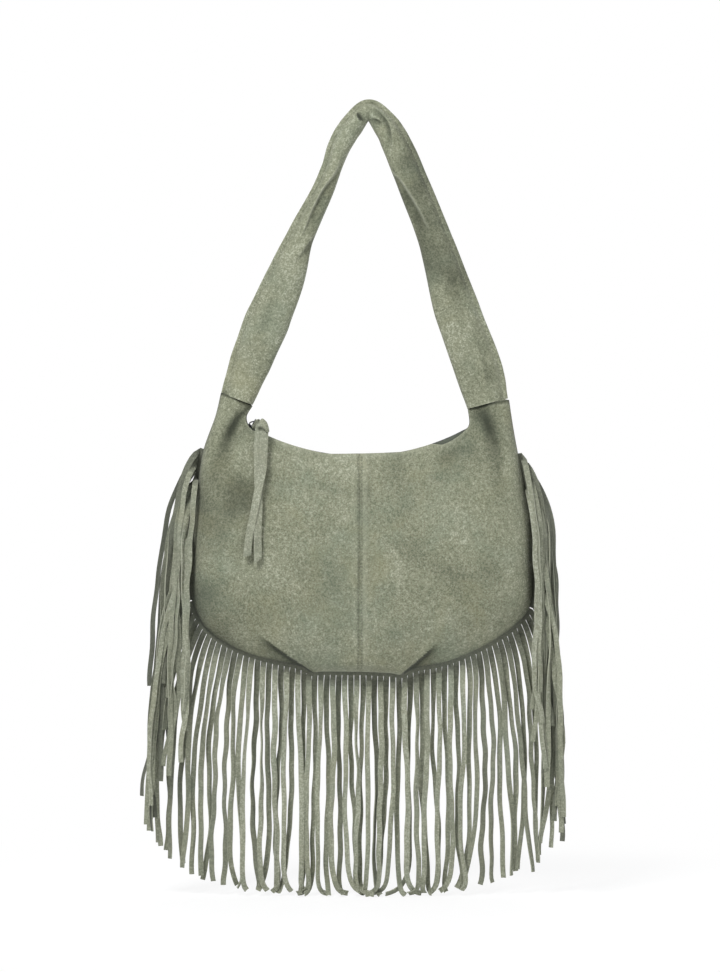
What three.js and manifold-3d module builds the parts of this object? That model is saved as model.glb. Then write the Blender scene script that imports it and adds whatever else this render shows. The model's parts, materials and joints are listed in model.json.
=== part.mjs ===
// A suede hobo shoulder bag with a zipped mouth and a deep cut fringe, hanging from the crown of its handle.
// Millimetres. The origin is the underside of the handle's crown; +Z is up, +X to the right, the front faces -Y.
import * as THREE from "three";
import { mergeVertices } from "three/addons/utils/BufferGeometryUtils.js";
import Module from "manifold-3d";

// Suede, lining and the play left between pieces that touch
const SUEDE = 1.2;
const LINING = 0.6;
const PLAY = 0.3;

// Body, seen from the front: the centre seam, and each half's edges from that seam out to the neck
const CENTRE_SEAM_X = -9.4;
const LEFT_MOUTH = [
  [CENTRE_SEAM_X, -334.9], [-45.7, -334.9], [-84, -330.4], [-105.4, -319.4],
  [-119.9, -308.4], [-123, -298.1], [-116.9, -287.4],
];
const LEFT_SEAM = [
  [CENTRE_SEAM_X, -553], [-49.4, -553], [-56.9, -553.9], [-66.4, -548.4], [-101.7, -540.4],
  [-132.4, -530.2], [-162.9, -510.1], [-177.4, -481.4], [-178.4, -445.4], [-173.4, -383.4],
  [-166.4, -333.4], [-153.6, -296.4], [-148.4, -274.4],
];
const RIGHT_MOUTH = [
  [CENTRE_SEAM_X, -334.9], [16.6, -334.1], [47.1, -331.8], [77.6, -324.2],
  [93.6, -313.6], [99.9, -305.8], [98.4, -290.4],
];
const RIGHT_SEAM = [
  [CENTRE_SEAM_X, -553], [20.6, -554.4], [31.6, -555.9], [43.6, -550.4], [76.3, -543.4],
  [118.3, -525.4], [147, -505.4], [160.4, -487.9], [163.6, -445.1], [162.6, -406.4],
  [155.6, -371.4], [144.3, -311.9], [139.6, -281.4],
];
const BELLY_DEPTH = 34;
const NECK_DEPTH = 8;
const MOUTH_HALF_GAP = 9;
const BELLY_TO_NECK = [0.5, 1];
const MOUTH_CLOSES = [0.88, 1];

// Pleats in the bottom edge: each fold line runs from inside the panel down to its tip on the seam
const PLEAT_RISE = 4;
const PLEAT_SOFTNESS = 5;
const PLEATS = [
  { inside: [-115.4, -515.4], tip: [-56.4, -554.1], side: -1 },
  { inside: [74.2, -522.1], tip: [31.6, -555.9], side: 1 },
];

// Zip: an arc about a centre above the mouth, measured in degrees from straight down
const ZIP_RADIUS = 223;
const ZIP_CENTRE_Z = -114.9;
const ZIP_LEFT_END = -30.6;
const ZIP_RIGHT_END = 29;
const TAPE_THICKNESS = 0.6;
const TAPE_HEM = 6;
const CHAIN_HALF_WIDTH = 1.6;
const CHAIN_HALF_HEIGHT = 0.9;
const CHAIN_BAND = 0.5;
const TOOTH_PITCH = 5;
const SLIDER_LENGTH = 9;
const SLIDER_WIDTH = 9;
const SLIDER_PLATE = 1.2;
const SLIDER_REST_ANGLE = -29.3;
const EYE_HOLE = 3.2;
const EYE_WALL = 1;
const EYE_THICKNESS = 1.2;
const EYE_STEM = 2.5;
const STOP_LENGTH = 2.5;

// Pull: a wire ring through the slider's eye, and a suede lace hitched on the ring
const RING_WIRE = 1.3;
const RING_RADIUS = 4.9;
const RING_DROOP = 8;
const LACE_WIDTH = 7.5;
const LACE_THICKNESS = 1.3;
const HITCH_WIDTH = 4;
const HITCH_BORE = 2.8;
const HITCH_WALL = 1;
const LACE_CLEARANCE = 3;
const KNOT_SIZE = [17, 7, 12];
const KNOT_OFFSET = [6, -4.6, 0];
const FRONT_TAIL = [[1, -4], [1, -11], [0, -20], [-1, -34], [-4, -66], [-8, -92], [-12, -111], [-13, -129]];
const REAR_TAIL = [[-3, -4], [-3, -11], [-4, -20], [-4, -34], [-2, -66], [-2, -92], [-4, -116], [-3, -136]];

// Handle: stations of the folded strap from the left neck over the crown to the right neck,
// each with its x, its z, its width across and its thickness
const HANDLE = [
  [-132.6, -280.6, 33.6, 19], [-119.9, -246.4, 41.1, 18], [-102.2, -202.5, 45.2, 17],
  [-84.4, -159.9, 39.8, 17], [-69.9, -119.9, 27.5, 18], [-46.4, -71.4, 21.5, 19],
  [-37.9, -49.4, 20, 19], [-30.1, -27.7, 23, 20], [-18.5, -8.4, 24, 21], [-0.9, 9.6, 19, 21],
  [17.5, -8.1, 27, 20], [28.4, -28.2, 30, 18], [43.8, -65, 31.9, 17], [66, -121.6, 33.6, 17],
  [87.2, -190.3, 46, 17], [109.8, -252.9, 48, 18], [118.3, -285.1, 42.3, 19],
];
const HANDLE_WALL = 2;
const HANDLE_FLANGE = 5;
const HANDLE_FOLD = 3;
const FOLD_SPAN = [0.17, 0.42];

// Fringe: a band held in the seam, slit into strips that hang to the surface below the bag
const FRINGE_LENGTH = 240;
const FRINGE_PITCH = 5.9;
const STRIP_WIDTH = 5.5;
const HEADER_IN_SEAM = 8;
const HEADER_SHOWING = 6.5;
const FRINGE_REACH = { left: 349, right: 346 };
const SIDE_FRINGE_STARTS = { left: 196, right: 190 };
const TIP_CURL = 16;
const STRIP_WAVES = { hanging: [2, 1.5], side: [0.4, 0.8], shortest: 90, spread: 60 };
const STRIP_SETTLES = 8;
const SIDE_LAYERS = 8;
const SIDE_LAYER_STRIDE = 3;
const SIDE_LAYER_PITCH = 2.5;
const SIDE_LAYER_NEAREST = [3, 8];
const LANES = {
  left: [[0, 0], [100, 2], [150, 24], [196, 43], [232, 45], [260, 34], [294, 22], [349, 19]],
  right: [[0, 0], [100, 1], [150, 18], [190, 28], [232, 26], [270, 21], [310, 18], [346, 16]],
};

// Slip pocket sewn on the back lining
const LINING_COLUMNS = 14;
const LINING_ROWS = 7;
const POCKET_COLUMNS = 4;
const POCKET_FIRST_ROW = 2;
const POCKET_ROWS = 3;
const LINING_REACH = 0.78;
const LINING_INSET = 20;
const LINING_BELOW_MOUTH = TAPE_HEM + 3.3;

const SUEDE_GREEN = { color: 0x868f79, roughness: 0.95, metalness: 0 };
const CUT_EDGE_GREEN = { color: 0x7f8872, roughness: 0.95, metalness: 0 };
const LINING_CLOTH = { color: 0x6f6a5c, roughness: 0.85, metalness: 0 };
const TAPE_CLOTH = { color: 0x4c5247, roughness: 0.8, metalness: 0 };
const DARK_METAL = { color: 0x4a4b4a, roughness: 0.35, metalness: 1 };

const wasm = await Module();
wasm.setup();

const bag = new THREE.Group();

function addPiece(name, geometry, finish) {
  const mesh = new THREE.Mesh(geometry, new THREE.MeshStandardMaterial(finish));
  mesh.name = name;
  bag.add(mesh);
}

// Closed surfaces

// Makes a geometry from points and triangles, turned so that its faces point out
function closedGeometry(points, triangles) {
  let volume = 0;
  for (const [a, b, c] of triangles) {
    volume += points[a].dot(new THREE.Vector3().crossVectors(points[b], points[c]));
  }
  const turned = volume < 0 ? triangles.map(([a, b, c]) => [a, c, b]) : triangles;
  const geometry = new THREE.BufferGeometry().setFromPoints(points);
  geometry.setIndex(turned.flat());
  return geometry;
}

function pushQuad(triangles, a, b, c, d) {
  triangles.push([a, b, c], [a, c, d]);
}

// A sheet with thickness: two grids of points, joined round their rim
function sheetGeometry(columns, rows, outerAt, innerAt) {
  const points = [];
  const triangles = [];
  const stride = rows + 1;
  const layer = (columns + 1) * stride;
  for (const pointAt of [outerAt, innerAt]) {
    for (let i = 0; i <= columns; i++) {
      for (let j = 0; j <= rows; j++) {
        points.push(pointAt(i / columns, j / rows));
      }
    }
  }
  const index = (i, j) => i * stride + j;
  for (let i = 0; i < columns; i++) {
    for (let j = 0; j < rows; j++) {
      const corners = [index(i, j), index(i + 1, j), index(i + 1, j + 1), index(i, j + 1)];
      pushQuad(triangles, ...corners);
      pushQuad(triangles, ...corners.map((k) => k + layer).reverse());
    }
  }
  const rim = [];
  for (let i = 0; i < columns; i++) {
    rim.push(index(i, 0));
  }
  for (let j = 0; j < rows; j++) {
    rim.push(index(columns, j));
  }
  for (let i = columns; i > 0; i--) {
    rim.push(index(i, rows));
  }
  for (let j = rows; j > 0; j--) {
    rim.push(index(0, j));
  }
  rim.forEach((a, k) => {
    const b = rim[(k + 1) % rim.length];
    pushQuad(triangles, b, a, a + layer, b + layer);
  });
  return closedGeometry(points, triangles);
}

// A solid bar: rings of points one after another, its two ends capped
function barGeometry(rings, outline) {
  const points = rings.flat();
  const triangles = [];
  const count = rings[0].length;
  for (let i = 0; i + 1 < rings.length; i++) {
    for (let k = 0; k < count; k++) {
      const next = (k + 1) % count;
      pushQuad(triangles, i * count + k, i * count + next, (i + 1) * count + next, (i + 1) * count + k);
    }
  }
  const last = (rings.length - 1) * count;
  for (const [a, b, c] of THREE.ShapeUtils.triangulateShape(outline, [])) {
    triangles.push([a, c, b], [a + last, b + last, c + last]);
  }
  return closedGeometry(points, triangles);
}

// A hollow sleeve, open at both ends: outer and inner rings
function sleeveGeometry(outerRings, innerRings) {
  const points = [...outerRings.flat(), ...innerRings.flat()];
  const triangles = [];
  const count = outerRings[0].length;
  const stations = outerRings.length;
  const layer = stations * count;
  for (let i = 0; i + 1 < stations; i++) {
    for (let k = 0; k < count; k++) {
      const next = (k + 1) % count;
      const quad = [i * count + k, i * count + next, (i + 1) * count + next, (i + 1) * count + k];
      pushQuad(triangles, ...quad);
      pushQuad(triangles, ...quad.map((p) => p + layer).reverse());
    }
  }
  for (const [start, turned] of [[0, false], [(stations - 1) * count, true]]) {
    for (let k = 0; k < count; k++) {
      const a = start + k;
      const b = start + ((k + 1) % count);
      const quad = [b, a, a + layer, b + layer];
      pushQuad(triangles, ...(turned ? quad.reverse() : quad));
    }
  }
  return closedGeometry(points, triangles);
}

function toSolid(geometry) {
  const bare = geometry.index ? geometry.clone() : geometry;
  for (const name of Object.keys(bare.attributes)) {
    if (name !== "position") {
      bare.deleteAttribute(name);
    }
  }
  const merged = mergeVertices(bare, 1e-4);
  return new wasm.Manifold(
    new wasm.Mesh({
      numProp: 3,
      vertProperties: merged.attributes.position.array,
      triVerts: new Uint32Array(merged.index.array),
    }),
  );
}

function fromSolid(solid) {
  const { vertProperties, triVerts } = solid.getMesh();
  const geometry = new THREE.BufferGeometry();
  geometry.setAttribute("position", new THREE.BufferAttribute(vertProperties, 3));
  geometry.setIndex(new THREE.BufferAttribute(triVerts, 1));
  return geometry;
}

// Small sums

const { smoothstep, lerp, clamp, degToRad } = THREE.MathUtils;

// The same scatter for the same strip every time, from 0 to 1
function scatter(strip, trait) {
  const wave = Math.sin(strip * 12.9898 + trait * 78.233) * 43758.5453;
  return wave - Math.floor(wave);
}

function readKeys(keys, at) {
  for (let i = 1; i < keys.length; i++) {
    if (at <= keys[i][0]) {
      const share = (at - keys[i - 1][0]) / (keys[i][0] - keys[i - 1][0]);
      return lerp(keys[i - 1][1], keys[i][1], clamp(share, 0, 1));
    }
  }
  return keys[keys.length - 1][1];
}

function curveThrough(points) {
  const curve = new THREE.CatmullRomCurve3(points.map(([x, z]) => new THREE.Vector3(x, 0, z)), false, "centripetal");
  curve.arcLengthDivisions = 400;
  return curve;
}

const HALVES = {
  left: { mouth: curveThrough(LEFT_MOUTH), seam: curveThrough(LEFT_SEAM), sign: -1 },
  right: { mouth: curveThrough(RIGHT_MOUTH), seam: curveThrough(RIGHT_SEAM), sign: 1 },
};

// The body's skin

// How far the skin swells across a half, from 0 at the mouth to a peak and back to 0 at the seam
function swell(down) {
  const peak = 0.76;
  return ((1 - (1 - down) ** 2) * (1 - down ** 4) ** 0.7) / peak;
}

function pleatRise(x, z) {
  let rise = 0;
  for (const { inside, tip, side } of PLEATS) {
    const along = new THREE.Vector2(tip[0] - inside[0], tip[1] - inside[1]);
    const from = new THREE.Vector2(x - inside[0], z - inside[1]);
    const run = from.dot(along) / along.lengthSq();
    const beside = (from.cross(along) * -side) / along.length();
    const reach = smoothstep(run, 0, 1) * (1 - smoothstep(beside, 30, 70));
    rise += PLEAT_RISE * reach * smoothstep(beside, -PLEAT_SOFTNESS / 2, PLEAT_SOFTNESS / 2);
  }
  return rise;
}

// A point of the skin: out runs from the centre seam to the neck, down from the mouth to the outer seam
function skinAt(half, out, down, face) {
  const top = half.mouth.getPointAt(out);
  const bottom = half.seam.getPoint(out);
  const point = top.lerp(bottom, down);
  const belly = lerp(BELLY_DEPTH, NECK_DEPTH, smoothstep(out, ...BELLY_TO_NECK));
  const mouth = (MOUTH_HALF_GAP - PLAY * 3) * (1 - smoothstep(out, ...MOUTH_CLOSES));
  const rimless = Math.min(1, (1 - down) * 12);
  const depth = PLAY * 3 + SUEDE + mouth * (1 - down) ** 2 + belly * swell(down);
  point.y = face * (depth + pleatRise(point.x, point.z) * rimless);
  return point;
}

function panelGeometry(half, face) {
  const columns = 12;
  const rows = 11;
  const reach = 0.004;
  const spread = (t) => 1 - (1 - t) ** 1.35;
  const outerAt = (i, j) => {
    const point = skinAt(half, i, spread(j), face);
    point.x += i === 0 ? (half.sign * PLAY) / 2 : 0;
    return point;
  };
  const innerAt = (i, j) => {
    const point = outerAt(i, j);
    if (j === 0 || j === 1) {
      return point.setY(point.y - face * SUEDE);
    }
    const along = skinAt(half, Math.min(1, i + reach), spread(j), face)
      .sub(skinAt(half, Math.max(0, i - reach), spread(j), face));
    const across = skinAt(half, i, spread(j) + reach, face).sub(skinAt(half, i, spread(j) - reach, face));
    const inward = along.cross(across).normalize();
    inward.multiplyScalar(inward.y * face > 0 ? -SUEDE : SUEDE);
    if (i === 0) {
      inward.x = 0;
    }
    return point.add(inward);
  };
  return sheetGeometry(columns, rows, outerAt, innerAt);
}

for (const [sideName, half] of Object.entries(HALVES)) {
  addPiece("front_panel_" + sideName, panelGeometry(half, -1), SUEDE_GREEN);
  addPiece("back_panel_" + sideName, panelGeometry(half, 1), SUEDE_GREEN);
}

// Lining: a thin skin inside the panels, its own seam inset from theirs

const LINING_DRAW_IN = SUEDE * 2;

function liningAt(across, down, face, lift) {
  const half = across < 0 ? HALVES.left : HALVES.right;
  const out = Math.abs(across);
  const top = half.mouth.getPointAt(out);
  const bottom = half.seam.getPoint(out);
  const span = top.distanceTo(bottom);
  const point = top.lerp(bottom, lerp(LINING_BELOW_MOUTH / span, 1 - LINING_INSET / span, down));
  const belly = lerp(BELLY_DEPTH, NECK_DEPTH, smoothstep(out, ...BELLY_TO_NECK)) - LINING_DRAW_IN;
  const mouth = MOUTH_HALF_GAP - LINING_DRAW_IN;
  const depth = PLAY + LINING + mouth * (1 - down) ** 2 + belly * swell(down) - lift;
  point.y = face * depth;
  return point;
}

function liningGeometry(face) {
  const across = (t) => lerp(-LINING_REACH, LINING_REACH, t);
  return sheetGeometry(
    LINING_COLUMNS,
    LINING_ROWS,
    (i, j) => liningAt(across(i), j, face, 0),
    (i, j) => liningAt(across(i), j, face, LINING),
  );
}

function pocketGeometry() {
  const lift = LINING + PLAY;
  const reach = (LINING_REACH * POCKET_COLUMNS) / LINING_COLUMNS;
  const top = POCKET_FIRST_ROW / LINING_ROWS;
  const foot = (POCKET_FIRST_ROW + POCKET_ROWS) / LINING_ROWS;
  const place = (i, j, extra) => liningAt(lerp(-reach, reach, i), lerp(top, foot, j), 1, lift + extra);
  return sheetGeometry(
    POCKET_COLUMNS,
    POCKET_ROWS,
    (i, j) => place(i, j, 0),
    (i, j) => place(i, j, LINING),
  );
}

addPiece("lining_front", liningGeometry(-1), LINING_CLOTH);
addPiece("lining_back", liningGeometry(1), LINING_CLOTH);
addPiece("lining_pocket", pocketGeometry(), LINING_CLOTH);

// Zip

// A point by the zip: angle from straight down, y across the mouth, and how far below the chain's middle
function zipAt(angle, y, below) {
  const turn = degToRad(angle);
  const radius = ZIP_RADIUS + below;
  return new THREE.Vector3(
    CENTRE_SEAM_X + radius * Math.sin(turn),
    y,
    ZIP_CENTRE_Z - radius * Math.cos(turn),
  );
}

const DEGREES_PER_MM = 180 / (Math.PI * ZIP_RADIUS);

// A tape's section: the web beside the teeth, and a hem turned down inside the panel's edge
function tapeGeometry(face) {
  const inner = CHAIN_HALF_WIDTH + PLAY;
  const outer = MOUTH_HALF_GAP - PLAY;
  const half = TAPE_THICKNESS / 2;
  const outline = [
    [inner, -half], [outer, -half], [outer, TAPE_HEM], [outer - TAPE_THICKNESS, TAPE_HEM],
    [outer - TAPE_THICKNESS, half], [inner, half],
  ];
  const stations = 20;
  const rings = [];
  for (let i = 0; i <= stations; i++) {
    const angle = lerp(ZIP_LEFT_END, ZIP_RIGHT_END, i / stations);
    rings.push(outline.map(([y, below]) => zipAt(angle, face * y, below)));
  }
  return barGeometry(rings, outline.map(([y, below]) => new THREE.Vector2(y, below)));
}

// A row of teeth: a comb bent along the arc, its teeth reaching between those of the other row
const CHAIN_START = SLIDER_REST_ANGLE + (SLIDER_LENGTH / 2 + PLAY) * DEGREES_PER_MM;
const CHAIN_END = ZIP_RIGHT_END - (STOP_LENGTH + 2 * PLAY) * DEGREES_PER_MM;

function chainGeometry(face) {
  const tooth = TOOTH_PITCH / 2 - PLAY;
  const length = (CHAIN_END - CHAIN_START) / DEGREES_PER_MM;
  const count = Math.floor((length - TOOTH_PITCH) / TOOTH_PITCH);
  const root = CHAIN_HALF_WIDTH - CHAIN_BAND;
  const tip = -(root - PLAY);
  const start = face < 0 ? 0.5 : 0.5 + TOOTH_PITCH / 2;
  const points = [];
  const triangles = [];
  const rows = [];
  const station = (along) => {
    rows.push(points.length);
    for (const below of [-CHAIN_HALF_HEIGHT, CHAIN_HALF_HEIGHT]) {
      for (const y of [CHAIN_HALF_WIDTH, root]) {
        points.push(zipAt(CHAIN_START + along * DEGREES_PER_MM, face * y, below));
      }
    }
  };
  station(0);
  for (let i = 0; i < count; i++) {
    station(start + i * TOOTH_PITCH);
    station(start + i * TOOTH_PITCH + tooth);
  }
  station(length);
  for (let i = 0; i + 1 < rows.length; i++) {
    const a = rows[i];
    const b = rows[i + 1];
    pushQuad(triangles, a, b, b + 1, a + 1);
    pushQuad(triangles, a + 3, b + 3, b + 2, a + 2);
    pushQuad(triangles, a + 2, b + 2, b, a);
    if (i % 2 === 0) {
      pushQuad(triangles, a + 1, b + 1, b + 3, a + 3);
      continue;
    }
    const near = start + ((i - 1) / 2) * TOOTH_PITCH;
    const tips = points.length;
    for (const along of [near, near + tooth]) {
      for (const below of [-CHAIN_HALF_HEIGHT, CHAIN_HALF_HEIGHT]) {
        points.push(zipAt(CHAIN_START + along * DEGREES_PER_MM, face * tip, below));
      }
    }
    pushQuad(triangles, a + 1, b + 1, tips + 2, tips);
    pushQuad(triangles, a + 3, tips + 1, tips + 3, b + 3);
    pushQuad(triangles, tips, tips + 2, tips + 3, tips + 1);
    pushQuad(triangles, a + 1, tips, tips + 1, a + 3);
    pushQuad(triangles, b + 1, b + 3, tips + 3, tips + 2);
  }
  const end = rows[rows.length - 1];
  pushQuad(triangles, 0, 1, 3, 2);
  pushQuad(triangles, end, end + 2, end + 3, end + 1);
  return closedGeometry(points, triangles);
}

function stopGeometry() {
  const middle = ZIP_RIGHT_END - (STOP_LENGTH / 2 + PLAY) * DEGREES_PER_MM;
  const block = new THREE.BoxGeometry(STOP_LENGTH, 2 * CHAIN_HALF_WIDTH, 2 * CHAIN_HALF_HEIGHT);
  const place = zipAt(middle, 0, 0);
  return block.rotateY(degToRad(-middle)).translate(place.x, place.y, place.z);
}

// The slider: two plates joined by a post between the tapes, with an eye standing on the upper plate
const PLATE_GAP = CHAIN_HALF_HEIGHT + PLAY;
const EYE_RISE = PLATE_GAP + SLIDER_PLATE + EYE_STEM + EYE_WALL + EYE_HOLE / 2;

function sliderGeometry() {
  const top = PLATE_GAP + SLIDER_PLATE;
  const post = CHAIN_HALF_WIDTH;
  const wide = SLIDER_WIDTH / 2;
  const outline = new THREE.Shape([
    [-wide, -top], [wide, -top], [wide, -PLATE_GAP], [post, -PLATE_GAP], [post, PLATE_GAP],
    [wide, PLATE_GAP], [wide, top], [-wide, top], [-wide, PLATE_GAP], [-post, PLATE_GAP],
    [-post, -PLATE_GAP], [-wide, -PLATE_GAP],
  ].map(([y, z]) => new THREE.Vector2(y, z)));
  const plates = new THREE.ExtrudeGeometry(outline, { depth: SLIDER_LENGTH, bevelEnabled: false });
  plates.translate(0, 0, -SLIDER_LENGTH / 2);
  const reach = EYE_HOLE / 2 + EYE_WALL;
  const eyeOutline = new THREE.Shape();
  eyeOutline.moveTo(-reach, top - EYE_WALL / 2);
  eyeOutline.lineTo(reach, top - EYE_WALL / 2);
  eyeOutline.lineTo(reach, EYE_RISE);
  eyeOutline.absarc(0, EYE_RISE, reach, 0, Math.PI, false);
  eyeOutline.holes.push(new THREE.Path().absarc(0, EYE_RISE, EYE_HOLE / 2, 0, 2 * Math.PI, true));
  const eye = new THREE.ExtrudeGeometry(eyeOutline, { depth: EYE_THICKNESS, bevelEnabled: false, curveSegments: 8 });
  eye.translate(0, 0, -EYE_THICKNESS / 2);
  const joined = fromSolid(toSolid(plates).add(toSolid(eye)));
  // The outline was drawn across the zip: its x becomes y, its y becomes up and its depth runs along the zip
  joined.applyMatrix4(new THREE.Matrix4().makeBasis(
    new THREE.Vector3(0, 1, 0),
    new THREE.Vector3(0, 0, 1),
    new THREE.Vector3(1, 0, 0),
  ));
  const place = zipAt(SLIDER_REST_ANGLE, 0, 0);
  return joined.rotateY(degToRad(-SLIDER_REST_ANGLE)).translate(place.x, place.y, place.z);
}

addPiece("zip_tape_front", tapeGeometry(-1), TAPE_CLOTH);
addPiece("zip_tape_back", tapeGeometry(1), TAPE_CLOTH);
addPiece("zip_teeth_front", chainGeometry(-1), DARK_METAL);
addPiece("zip_teeth_back", chainGeometry(1), DARK_METAL);
addPiece("zip_end_stop", stopGeometry(), DARK_METAL);
addPiece("zip_slider", sliderGeometry(), DARK_METAL);

// Pull ring: its wire runs level through the eye, and the ring leans over the front edge of the mouth

const EYE_CENTRE = zipAt(SLIDER_REST_ANGLE, 0, -EYE_RISE);
const RING_LEAN = new THREE.Vector3(0, -Math.cos(degToRad(RING_DROOP)), -Math.sin(degToRad(RING_DROOP)));
const RING_CENTRE = EYE_CENTRE.clone().addScaledVector(RING_LEAN, RING_RADIUS);
const RING_FAR = EYE_CENTRE.clone().addScaledVector(RING_LEAN, 2 * RING_RADIUS);

function ringGeometry() {
  const ring = new THREE.TorusGeometry(RING_RADIUS, RING_WIRE / 2, 6, 20);
  return ring.rotateX(degToRad(RING_DROOP)).translate(RING_CENTRE.x, RING_CENTRE.y, RING_CENTRE.z);
}

addPiece("pull_ring", ringGeometry(), DARK_METAL);

// The skin's depth under the lace, found by walking the half's grid to the nearest point
function skinDepth(x, z) {
  const half = x < CENTRE_SEAM_X ? HALVES.left : HALVES.right;
  let best = 0;
  let nearest = Infinity;
  for (let i = 0; i <= 40; i++) {
    for (let j = 0; j <= 30; j++) {
      const point = skinAt(half, i / 40, j / 30, 1);
      const away = Math.hypot(point.x - x, point.z - z);
      if (away < nearest) {
        nearest = away;
        best = point.y;
      }
    }
  }
  return nearest < 12 ? best : 0;
}

// Deepest skin that the lace passes at this drop below the ring, over the slider's whole travel
function depthToClear(offset, drop) {
  const stops = 8;
  let deepest = 0;
  for (let i = 0; i <= stops; i++) {
    const eye = zipAt(lerp(SLIDER_REST_ANGLE, -SLIDER_REST_ANGLE, i / stops), 0, -EYE_RISE);
    for (const aside of [-LACE_WIDTH, 0, LACE_WIDTH]) {
      deepest = Math.max(deepest, skinDepth(eye.x + offset + aside, eye.z + drop));
    }
  }
  return deepest;
}

function tailGeometry(points, layer) {
  const route = new THREE.CatmullRomCurve3(points.map(([x, z], k) => {
    const skin = depthToClear(KNOT_OFFSET[0] + x, RING_FAR.z - EYE_CENTRE.z + z);
    const clear = skin + LACE_CLEARANCE + LACE_THICKNESS * (layer + 0.5);
    const start = -RING_FAR.y + KNOT_SIZE[1] / 2 + (layer - 0.5) * LACE_THICKNESS;
    return new THREE.Vector3(
      RING_FAR.x + KNOT_OFFSET[0] + x,
      -(k === 0 ? start : Math.max(start, clear)),
      RING_FAR.z + z,
    );
  }), false, "centripetal");
  const stations = 14;
  const rings = [];
  const corners = [[-1, -1], [1, -1], [1, 1], [-1, 1]];
  for (let i = 0; i <= stations; i++) {
    const point = route.getPoint(i / stations);
    const along = route.getTangent(i / stations);
    const across = new THREE.Vector3(1, 0, 0).addScaledVector(along, -along.x).normalize();
    const through = new THREE.Vector3().crossVectors(along, across);
    rings.push(corners.map(([a, b]) => point.clone()
      .addScaledVector(across, (a * LACE_WIDTH) / 2)
      .addScaledVector(through, (b * LACE_THICKNESS) / 2)));
  }
  return barGeometry(rings, corners.map(([a, b]) => new THREE.Vector2(a, b)));
}

// The lace: a loop round the ring's far side, the knot beside it and two tails down the front
function laceGeometry() {
  const bore = HITCH_BORE / 2;
  const loopOutline = new THREE.Shape().absarc(0, 0, bore + HITCH_WALL, 0, 2 * Math.PI, false);
  loopOutline.holes.push(new THREE.Path().absarc(0, 0, bore, 0, 2 * Math.PI, true));
  const loop = new THREE.ExtrudeGeometry(loopOutline, { depth: HITCH_WIDTH, bevelEnabled: false, curveSegments: 8 });
  loop.translate(0, 0, -HITCH_WIDTH / 2).rotateY(Math.PI / 2).translate(RING_FAR.x, RING_FAR.y, RING_FAR.z);
  const knot = new THREE.SphereGeometry(0.5, 12, 8).scale(...KNOT_SIZE);
  knot.translate(
    RING_FAR.x + KNOT_OFFSET[0],
    RING_FAR.y + KNOT_OFFSET[1],
    RING_FAR.z + KNOT_OFFSET[2],
  );
  const parts = [loop, knot, tailGeometry(FRONT_TAIL, 1), tailGeometry(REAR_TAIL, 0)].map(toSolid);
  return fromSolid(parts.reduce((whole, piece) => whole.add(piece)));
}

addPiece("pull_lace", laceGeometry(), SUEDE_GREEN);

// Handle: a suede strap folded to a soft tube, with its long seam as a flange along the outer edge

function handleRings(inset) {
  const path = new THREE.CatmullRomCurve3(
    HANDLE.map(([x, z]) => new THREE.Vector3(x, 0, z)), false, "centripetal");
  const sizes = new THREE.CatmullRomCurve3(
    HANDLE.map(([, , width, thickness]) => new THREE.Vector3(width, thickness, 0)), false, "centripetal");
  const stations = 2 * (HANDLE.length - 1);
  const around = 12;
  const rings = [];
  for (let i = 0; i <= stations; i++) {
    const t = i / stations;
    const centre = path.getPoint(t);
    const along = path.getTangent(t);
    const outward = new THREE.Vector3(-along.z, 0, along.x).normalize();
    const { x: width, y: thickness } = sizes.getPoint(t);
    const seamSide = width / 2 - (inset ? HANDLE_FLANGE + HANDLE_WALL : 0);
    const freeSide = width / 2 - (inset ? HANDLE_WALL : 0);
    const tube = width / 2 - HANDLE_FLANGE / 2;
    const ring = [];
    for (let k = 0; k < around; k++) {
      const angle = (2 * Math.PI * k) / around;
      const middle = (seamSide - freeSide) / 2;
      const reach = (seamSide + freeSide) / 2;
      const across = middle + reach * Math.cos(angle);
      const round = 1 - (Math.min(tube, Math.abs(across + HANDLE_FLANGE / 2)) / tube) ** 2.4;
      const fold = HANDLE_FOLD * foldStep(t, across / width, Math.sin(angle) < 0);
      const full = (thickness / 2) * Math.sqrt(Math.max(0, round)) - (across > 0 ? 0 : fold);
      const half = Math.max(HANDLE_WALL + 0.5, full) - (inset ? HANDLE_WALL : 0);
      const flat = Math.min(1, Math.abs(Math.sin(angle)) * 3);
      ring.push(centre.clone().addScaledVector(outward, across).setY(Math.sign(Math.sin(angle)) * half * flat));
    }
    rings.push(ring);
  }
  return rings;
}

// The overlap that winds once round the left branch, as a step from 0 to 1 across the strap's front
function foldStep(t, across, front) {
  const [from, to] = FOLD_SPAN;
  if (!front || t < from || t > to) {
    return 0;
  }
  const run = (t - from) / (to - from);
  return smoothstep(-across, lerp(-0.1, 0.42, 1 - run), lerp(0.05, 0.5, 1 - run)) * Math.sin(Math.PI * run) ** 0.5;
}

addPiece("handle", sleeveGeometry(handleRings(false), handleRings(true)), SUEDE_GREEN);

// Fringe: seam places are measured along the seam from the bottom of the centre seam

function seamPlace(side, along) {
  const { seam, sign } = HALVES[side];
  const length = seam.getLength();
  const at = (distance) => seam.getPointAt(clamp(distance / length, 0, 1));
  const smooth = 14;
  const low = along < smooth
    ? new THREE.Vector3(2 * CENTRE_SEAM_X - at(smooth - along).x, 0, at(smooth - along).z)
    : at(along - smooth);
  const tangent = at(along + smooth).sub(low).normalize();
  const outward = new THREE.Vector3(-tangent.z * -sign, 0, tangent.x * -sign);
  return { point: at(along), tangent, outward, sign };
}

// The surface that the lowest strips reach, where their tips curl over
const SURFACE_Z = HALVES.left.seam.getPointAt(0).z - FRINGE_LENGTH + TIP_CURL;

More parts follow.
